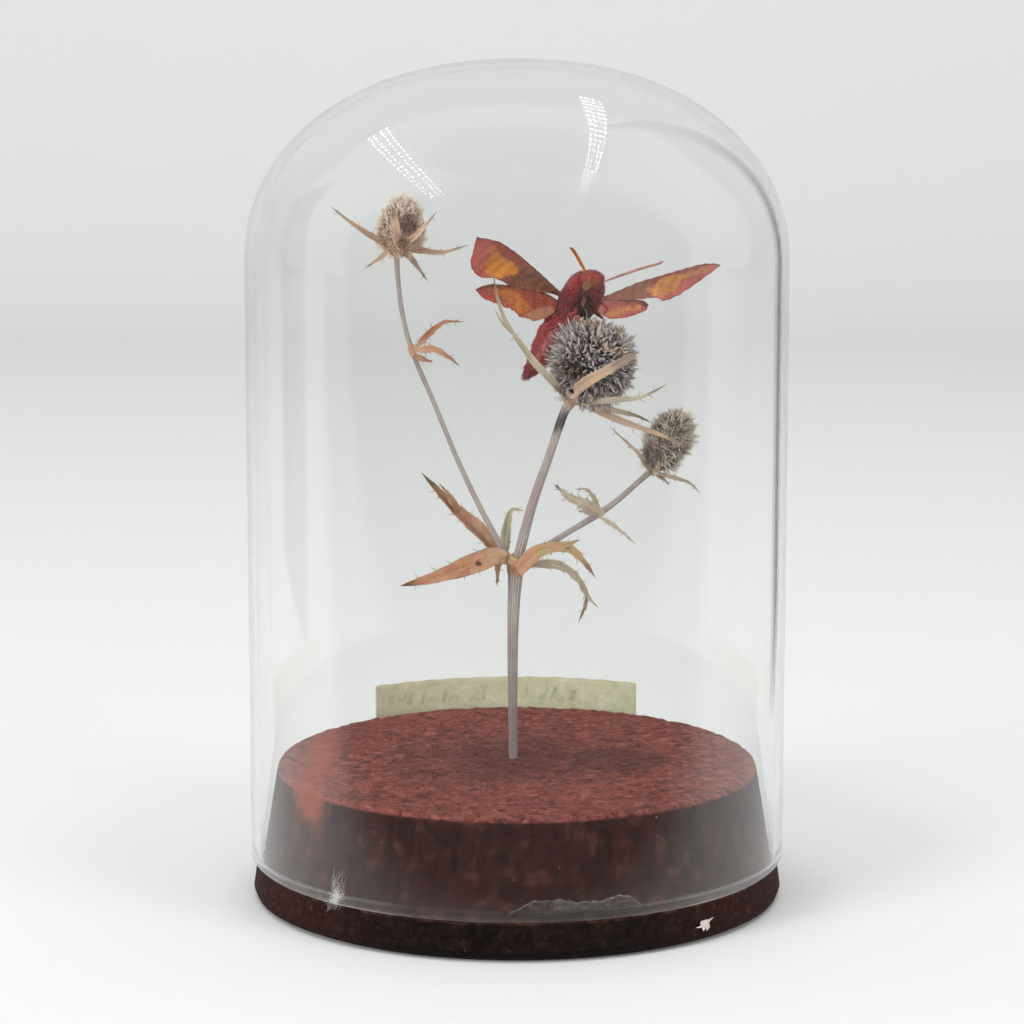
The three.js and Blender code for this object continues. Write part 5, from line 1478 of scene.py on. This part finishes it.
lf_dorsum = [(-0.9, -1.9), (0.78, -2.46), (3.75, -3.88), (6.5, -4.8), (8.19, -5.51), (10.06, -6.3),
    (11.21, -7.02), (12.19, -7.79), (12.76, -8.79)]
lf_yellow = [(9.43, -3.85), (10.5, -3.8), (11.17, -3.42), (11.73, -2.14), (12.73, -1.49), (13.78, -1.3),
    (15.31, -1.9), (16.86, -2.6), (18.2, -2.3), (20.3, -2.08), (21.41, -2.34), (21.33, -3.15), (20.07, -3.3),
    (19.05, -3.7), (17.81, -3.9), (16.43, -4.3), (16.23, -5.49), (15.46, -6.54), (14.08, -7.0), (13.06, -7.6),
    (11.94, -7.3), (10.73, -6.1), (9.88, -4.84)]
rh_costa = [(0.3, -0.5), (2.2, 0.37), (4.64, 0.64), (7.06, 0.78), (8.89, 1.01), (10.68, 0.93), (12.46, 0.8),
    (13.83, 0.41), (14.94, -0.18), (15.63, -0.77)]
rh_termen = [(5.58, -4.82), (6.92, -4.7), (7.22, -4.31), (8.02, -3.81), (8.93, -3.48), (9.76, -3.44),
    (10.54, -3.06), (11.52, -2.95), (12.28, -2.69), (13.39, -2.48), (14.3, -2.0), (15.0, -1.36),
    (15.63, -0.77)]
rh_dorsum = [(0.3, -2.6), (1.48, -3.9), (2.62, -4.52), (3.97, -5.08), (5.58, -4.82)]
rh_yellow = [(13.2, -0.5), (11.69, -0.16), (10.6, 0.2), (9.13, 0.13), (7.48, -0.39), (6.76, -1.15),
    (5.68, -1.86), (5.26, -3.04), (6.07, -4.1), (6.91, -4.02), (7.86, -3.29), (8.93, -2.58), (9.93, -2.35),
    (10.76, -1.61)]
rh_pale = [(6.3, -4.9), (4.9, -3.3), (2.97, -2.33), (1.24, -1.84), (0.2, -2.9), (2.64, -4.9), (3.99, -5.4)]
lh_costa = [(-2.2, 0.1), (0.3, 0.28), (5.07, 0.12), (9.58, 0.05), (12.6, -0.12), (14.5, -0.45), (15.4, -1.0),
    (15.71, -1.4)]
lh_termen = [(4.76, -3.45), (7.46, -3.38), (10.21, -3.05), (12.38, -2.62), (14.2, -2.3), (15.3, -1.9),
    (15.71, -1.4)]
lh_dorsum = [(-2.2, -2.2), (0.3, -3.0), (1.77, -3.4), (4.76, -3.45)]
lh_yellow = [(0.68, -2.47), (2.79, -1.94), (5.22, -1.52), (8.84, -1.37), (13.12, -1.07), (14.0, -1.4),
    (11.83, -1.95), (8.79, -2.13), (6.34, -2.56), (3.91, -3.0), (1.23, -3.0)]
none = [(40, 40), (41, 40), (41, 41)]

fore_root, hind_root = (4.7, -0.7, 0), (4.7, -1.8, -0.7)
# Colours: root, middle, red streak, yellow, deep yellow, margin, dark rim, front line, pale patch.
wings = {
    "right_forewing": ([(112, 58, 32), (146, 56, 36), (150, 38, 24), (214, 134, 28), (184, 104, 28),
        (182, 76, 70), (118, 42, 50), (66, 34, 22), (196, 130, 94)], dict(veil=0.1),
        wing(rf_costa, rf_dorsum, rf_termen, fore_root, 0.7, side=1, sweep=27.7, lift=9.8, twist=-5.9,
        yellow=rf_yellow, pale=none, seed=3)),
    "left_forewing": ([(156, 102, 84), (182, 94, 80), (184, 82, 64), (244, 178, 92), (224, 148, 82),
        (216, 118, 108), (152, 74, 80), (92, 58, 46), (210, 164, 140)], dict(veil=0.22),
        wing(lf_costa, lf_dorsum, lf_termen, fore_root, 0.7, side=-1, sweep=20.4, lift=9.4, twist=-1.3,
        yellow=lf_yellow, pale=none, seed=4)),
    "right_hindwing": ([(138, 42, 32), (138, 50, 28), (114, 40, 26), (174, 98, 26), (142, 70, 22),
        (162, 52, 52), (104, 34, 42), (74, 32, 22), (162, 112, 86)], dict(veil=0.08, reach=(4.0, 7.0),
        band=1.6), wing(rh_costa, rh_dorsum, rh_termen, hind_root, 0.5, side=1, sweep=-15.1, lift=17,
        twist=38, yellow=rh_yellow, pale=rh_pale, seed=5, ragged=0.3)),
    "left_hindwing": ([(162, 84, 86), (172, 82, 78), (150, 68, 72), (204, 144, 80), (188, 114, 72),
        (190, 80, 78), (150, 58, 72), (104, 58, 56), (196, 152, 130)], dict(veil=0.18, reach=(3.0, 8.0),
        band=1.0), wing(lh_costa, lh_dorsum, lh_termen, hind_root, 0.5, side=-1, sweep=-21.1, lift=20.4,
        twist=60, yellow=lh_yellow, pale=none, seed=6, ragged=0.12)),
}
for name, (colours, spread, shape) in wings.items():
    finish = scale_finish(name + "_scales", *colours, **spread)
    put(name + "_of_scales", settle(shape), finish, ["moth_" + name])

# %% [markdown]
# ## Antennae and legs
# A hawk moth's antenna is a thick tapering club with fine rings and a thin hook at its end. The radius of
# the tube carries both: a smooth swelling, and a small wave for the rings. The legs are scaly tubes with a
# swollen thigh and two spurs.

# %% Antennae and legs
def antenna(path, thick):
    """Radius = swelling * (1 + 0.1 cos(54 rings)), narrowed to a hair at the hook."""
    swelling = lambda t: np.interp(t, [0, 0.08, 0.5, 0.8, 0.92, 1.0], [0.2, 0.17, 0.36, 0.3, 0.12,
        0.05]) * thick
    return tube(path, lambda t, a: swelling(t) * (1 + 0.1 * np.cos(t * 54 * 2 * np.pi)), 12, 240,
        facing=(0, 0, 1))


def antenna_finish(name, body, light, tip):
    material, t, shader = shaded(name, 0.6, gloss=0.3)
    along, here = mark(t, "along"), place(t)
    rings = plus(t, calc(t, "COSINE", times(t, along, 339.3)), 0.5, 0.5)
    colour = blended(t, between(t, grain(t, here, 900.0, 4.0), 0.38, 0.65), tone(*body), tone(*light))
    colour = layered(
        t, colour,
        (times(t, rings, 0.3), tone(*tip)),
        (between(t, along, 0.86, 0.95), tone(52, 46, 48)),
    )
    wire(t, shader, Base_Color=colour, Normal=bumped(t, rings, 0.05, 0.7), Roughness=between(t, rings, 0.0,
        1.0, 0.5, 0.7))
    return material


antennae = {
    "right": ([(3.1, 7.0, -3.5), (4.5, 8.6, -3.1), (7.2, 11.5, -2.3), (9.4, 13.7, -1.8), (10.7, 14.8, -2.3)],
        0.85, "orange_antenna", (168, 82, 34), (206, 118, 58), (112, 52, 28)),
    "left": ([(0.4, 6.8, -3.4), (-0.5, 7.6, -3.3), (-2.4, 9.0, -3.2), (-5.4, 11.0, -3.0), (-9.2, 12.8, -2.6),
        (-9.7, 13.0, -2.3)], 0.72, "rose_antenna", (160, 108, 98), (188, 140, 124), (128, 84, 76)),
}
for side, (path, thick, finish, *colours) in antennae.items():
    put(f"{side}_antenna_club", settle(antenna(path, thick)), antenna_finish(finish, *colours),
        [f"moth_{side}_antenna"])

scaly_leg, t, shader = shaded("scaly_leg", 0.7, gloss=0.3, Sheen_Weight=0.1)
along, here = mark(t, "along"), place(t)
bands = between(t, calc(t, "COSINE", times(t, along, 44.0)), 0.2, 0.7)
colour = blended(t, between(t, grain(t, here, 1200.0, 4.0), 0.4, 0.6), tone(58, 30, 26), tone(98, 52, 44))
colour = blended(t, times(t, bands, times(t, along, 0.35)), colour, tone(190, 150, 128))
aside = size_of(t, calc(t, "SUBTRACT", coordinate(t, here, 0), 0.0136))
colour = blended(t, between(t, aside, 0.0014, 0.0026, 0.0, 0.85), colour, tone(150, 60, 58))
wire(t, shader, Base_Color=colour, Normal=bumped(t, grain(t, here, 5000.0, 3.0), 0.05, 0.6),
    Roughness=between(t, bands, 0.0, 1.0, 0.75, 0.6))
legs = {
    "moth_right_foreleg": [(2.6, 3.2, -3.9), (2.9, 3.0, -5.1), (4.2, 4.1, -6.6), (3.0, 3.1, -8.1)],
    "moth_left_foreleg": [(-0.4, 3.0, -4.0), (-0.7, 3.0, -5.0), (-1.5, 3.0, -6.3), (-1.1, 2.2, -7.0)],
    "moth_right_midleg": [(2.8, -0.4, -4.2), (3.4, -0.4, -5.1), (4.8, -1.0, -5.6), (4.5, -1.6, -6.0)],
    "moth_left_midleg": [(-0.9, -0.4, -4.2), (-1.5, -0.4, -5.1), (-2.8, -1.0, -5.8), (-2.6, -1.5, -6.1)],
    "moth_right_hindleg": [(2.8, -3.2, -4.0), (3.4, -3.4, -5.0), (7.9, -5.4, -6.4), (7.2, -5.5, -8.4)],
    "moth_left_hindleg": [(-0.7, -3.2, -4.0), (-1.3, -3.4, -5.0), (-5.4, -6.4, -6.8), (-5.5, -6.8, -8.8)],
}
for name, path in legs.items():
    joints = lambda t, a: np.interp(t, [0, 0.3, 0.6, 0.68, 0.74, 1.0], [0.42, 0.4, 0.22, 0.24, 0.16, 0.1]) * (
        1 + 0.05 * np.cos(60 * t))
    shank, toe = np.array(path[-2]), np.array(path[-1])
    spur_at = shank * 0.45 + toe * 0.55
    spurs = threads(np.tile(spur_at, (2, 1)), spur_at + (toe - shank) * 0.3
        + np.array([[0.4, 0.1, 0], [-0.4, 0.2, 0]]), 0.02, 0.07, 5, 3)
    put(name.replace("moth_", "scaly_"), settle(joined(tube(path, joints, 10, 70, facing=(0.2, 1, 0.1)),
        spurs)), scaly_leg, [name])

# %% [markdown]
# ## The studio
# A pale floor that curves up into the wall behind has no horizon line. The light is soft: a big lamp from
# above, one from each side, and a pale world that is darker in front. Clear glass shows only what it
# reflects. So two strips, each four rows of small bright points, hang high above and leave dotted streaks on
# the crown, and a dark card beside the dome draws its edge.

# %% Floor, lights and camera
def card(name, points, quads, finish):
    """A plain mesh for the studio."""
    mesh = bpy.data.meshes.new(name)
    mesh.from_pydata(points, [], quads)
    mesh.materials.append(finish)
    return placed(name, mesh)


def floor_sheet():
    """A sheet bent like a wave: flat to y = 900 mm, a quarter circle of 500 mm, then a wall up to 2.4 m."""
    bend = np.linspace(0, np.pi / 2, 40)
    y = np.concatenate([[-1500, 900], 900 + 500 * np.sin(bend), [1400]])
    z = np.concatenate([[0, 0], 500 - 500 * np.cos(bend), [2400]])
    x = np.array([-2600.0, 2600.0])
    grid = np.stack([np.repeat(x[None], len(y), 0), np.repeat(y[:, None], 2, 1), np.repeat(z[:, None], 2, 1)],
        -1) * MM
    n = np.arange(len(y) - 1) * 2
    return grid.reshape(-1, 3), np.stack([n, n + 1, n + 3, n + 2], 1)


white, t, shader = shaded("matt_card", 0.9, gloss=0.1)
# In reflections, the floor in front of the dome is dark, as an unlit room would be.
nearness = between(t, coordinate(t, place(t), 1), -0.03, -0.10)
mirrored = node(t, "Math", {0: node(t, "LightPath", out="Glossy Depth"), 1: 0.5}, operation="GREATER_THAN")
wire(t, shader, Base_Color=blended(t, times(t, nearness, mirrored), (0.725, 0.73, 0.73, 1),
    (0.1, 0.1, 0.1, 1)))
points, quads = floor_sheet()
floor = card("studio_floor", points.tolist(), quads.tolist(), white)
floor.data.polygons.foreach_set("use_smooth", np.full(len(quads), True))


def lamp(name, where, towards, size, power, tint):
    """A square area lamp that looks at a point. Track-to maths: its -Z axis follows the direction."""
    data = bpy.data.lights.new(name, "AREA")
    data.size, data.energy, data.color = size, power, tint
    obj = placed(name, data)
    obj.location = where
    obj.rotation_euler = (Vector(towards) - Vector(where)).to_track_quat("-Z", "Y").to_euler()
    obj.visible_glossy = obj.visible_transmission = False


lamp("ceiling_light", (0.0, -0.25, 1.6), (0, 0, 0.06), 1.3, 11.5, (1.0, 0.985, 0.96))
lamp("left_light", (-1.3, -1.1, 0.5), (0, 0, 0.09), 0.8, 27.0, (0.99, 0.99, 1.0))
lamp("right_light", (1.4, -1.0, 0.45), (0, 0, 0.09), 0.8, 19.0, (1.0, 0.99, 0.98))


def strip_dots(xs, ys, z, size, slant):
    """Small squares that face down, one at every x - slant * y and y."""
    x, y = (a.ravel() for a in np.meshgrid(xs, ys))
    x = x - slant * y
    corner = np.array([(-1, -1), (-1, 1), (1, 1), (1, -1)]) * size / 2
    p = np.concatenate([np.stack([x, y], 1)[:, None] + corner, np.full((len(x), 4, 1), z)], -1) * MM
    return p.reshape(-1, 3), np.arange(4 * len(x)).reshape(-1, 4)


# A dark card, behind at the right and unseen, gives the glass its dark edge line.
flag_corners = [(0.14, 0.10, 0.001), (0.21, 0.26, 0.001), (0.21, 0.26, 0.5), (0.14, 0.10, 0.5)]
dark_cloth = shaded("dark_cloth", 0.95, Base_Color=(0.01, 0.01, 0.01, 1))[0]
flag = card("dark_flag", flag_corners, [(0, 1, 2, 3)], dark_cloth)
flag.visible_camera = flag.visible_diffuse = flag.visible_shadow = False

glow = bpy.data.materials.new("strip_glow")
glow.use_nodes = True
glow.node_tree.nodes.clear()
lit = node(glow.node_tree, "Emission", {"Color": (1.0, 0.99, 0.97, 1), "Strength": 80.0})
sink = glow.node_tree.nodes.new("ShaderNodeOutputMaterial")
glow.node_tree.links.new(lit, sink.inputs["Surface"])
STRIP_HEIGHT = 1200.0
strips = {
    "left_strip": ((-774, -730, -668, -624), np.arange(-700, 660, 70), 11.0, 0.0),
    "right_strip": ((386, 412, 441, 467), np.arange(-700, 900, 76), 8.5, 0.16),
}
for name, (xs, ys, size, slant) in strips.items():
    points, quads = strip_dots(np.array(xs, float), ys.astype(float), STRIP_HEIGHT, size, slant)
    piece = card(name, points.tolist(), quads.tolist(), glow)

world = bpy.data.worlds.new("pale_room")
bpy.context.scene.world = world
world.use_nodes = True
t = world.node_tree
facing = coordinate(t, node(t, "TexCoord", out=0), 1)
room = blended(t, between(t, facing, -0.55, 0.35), (0.20, 0.205, 0.205, 1), (0.63, 0.65, 0.65, 1))
t.links.new(room, t.nodes["Background"].inputs["Color"])

camera = bpy.data.cameras.new("view")
camera.lens, camera.sensor_width, camera.shift_x, camera.shift_y = 122.94, 36.0, -0.00488, 0.0015
camera.clip_start, camera.clip_end = 0.01, 20.0
viewer = placed("view", camera)
viewer.location = (0.0, -0.6416, 0.17864)
viewer.rotation_euler = (math.pi / 2 - 0.165, 0.0, 0.0)
bpy.context.scene.camera = viewer
bpy.context.scene.view_settings.view_transform = "Standard"
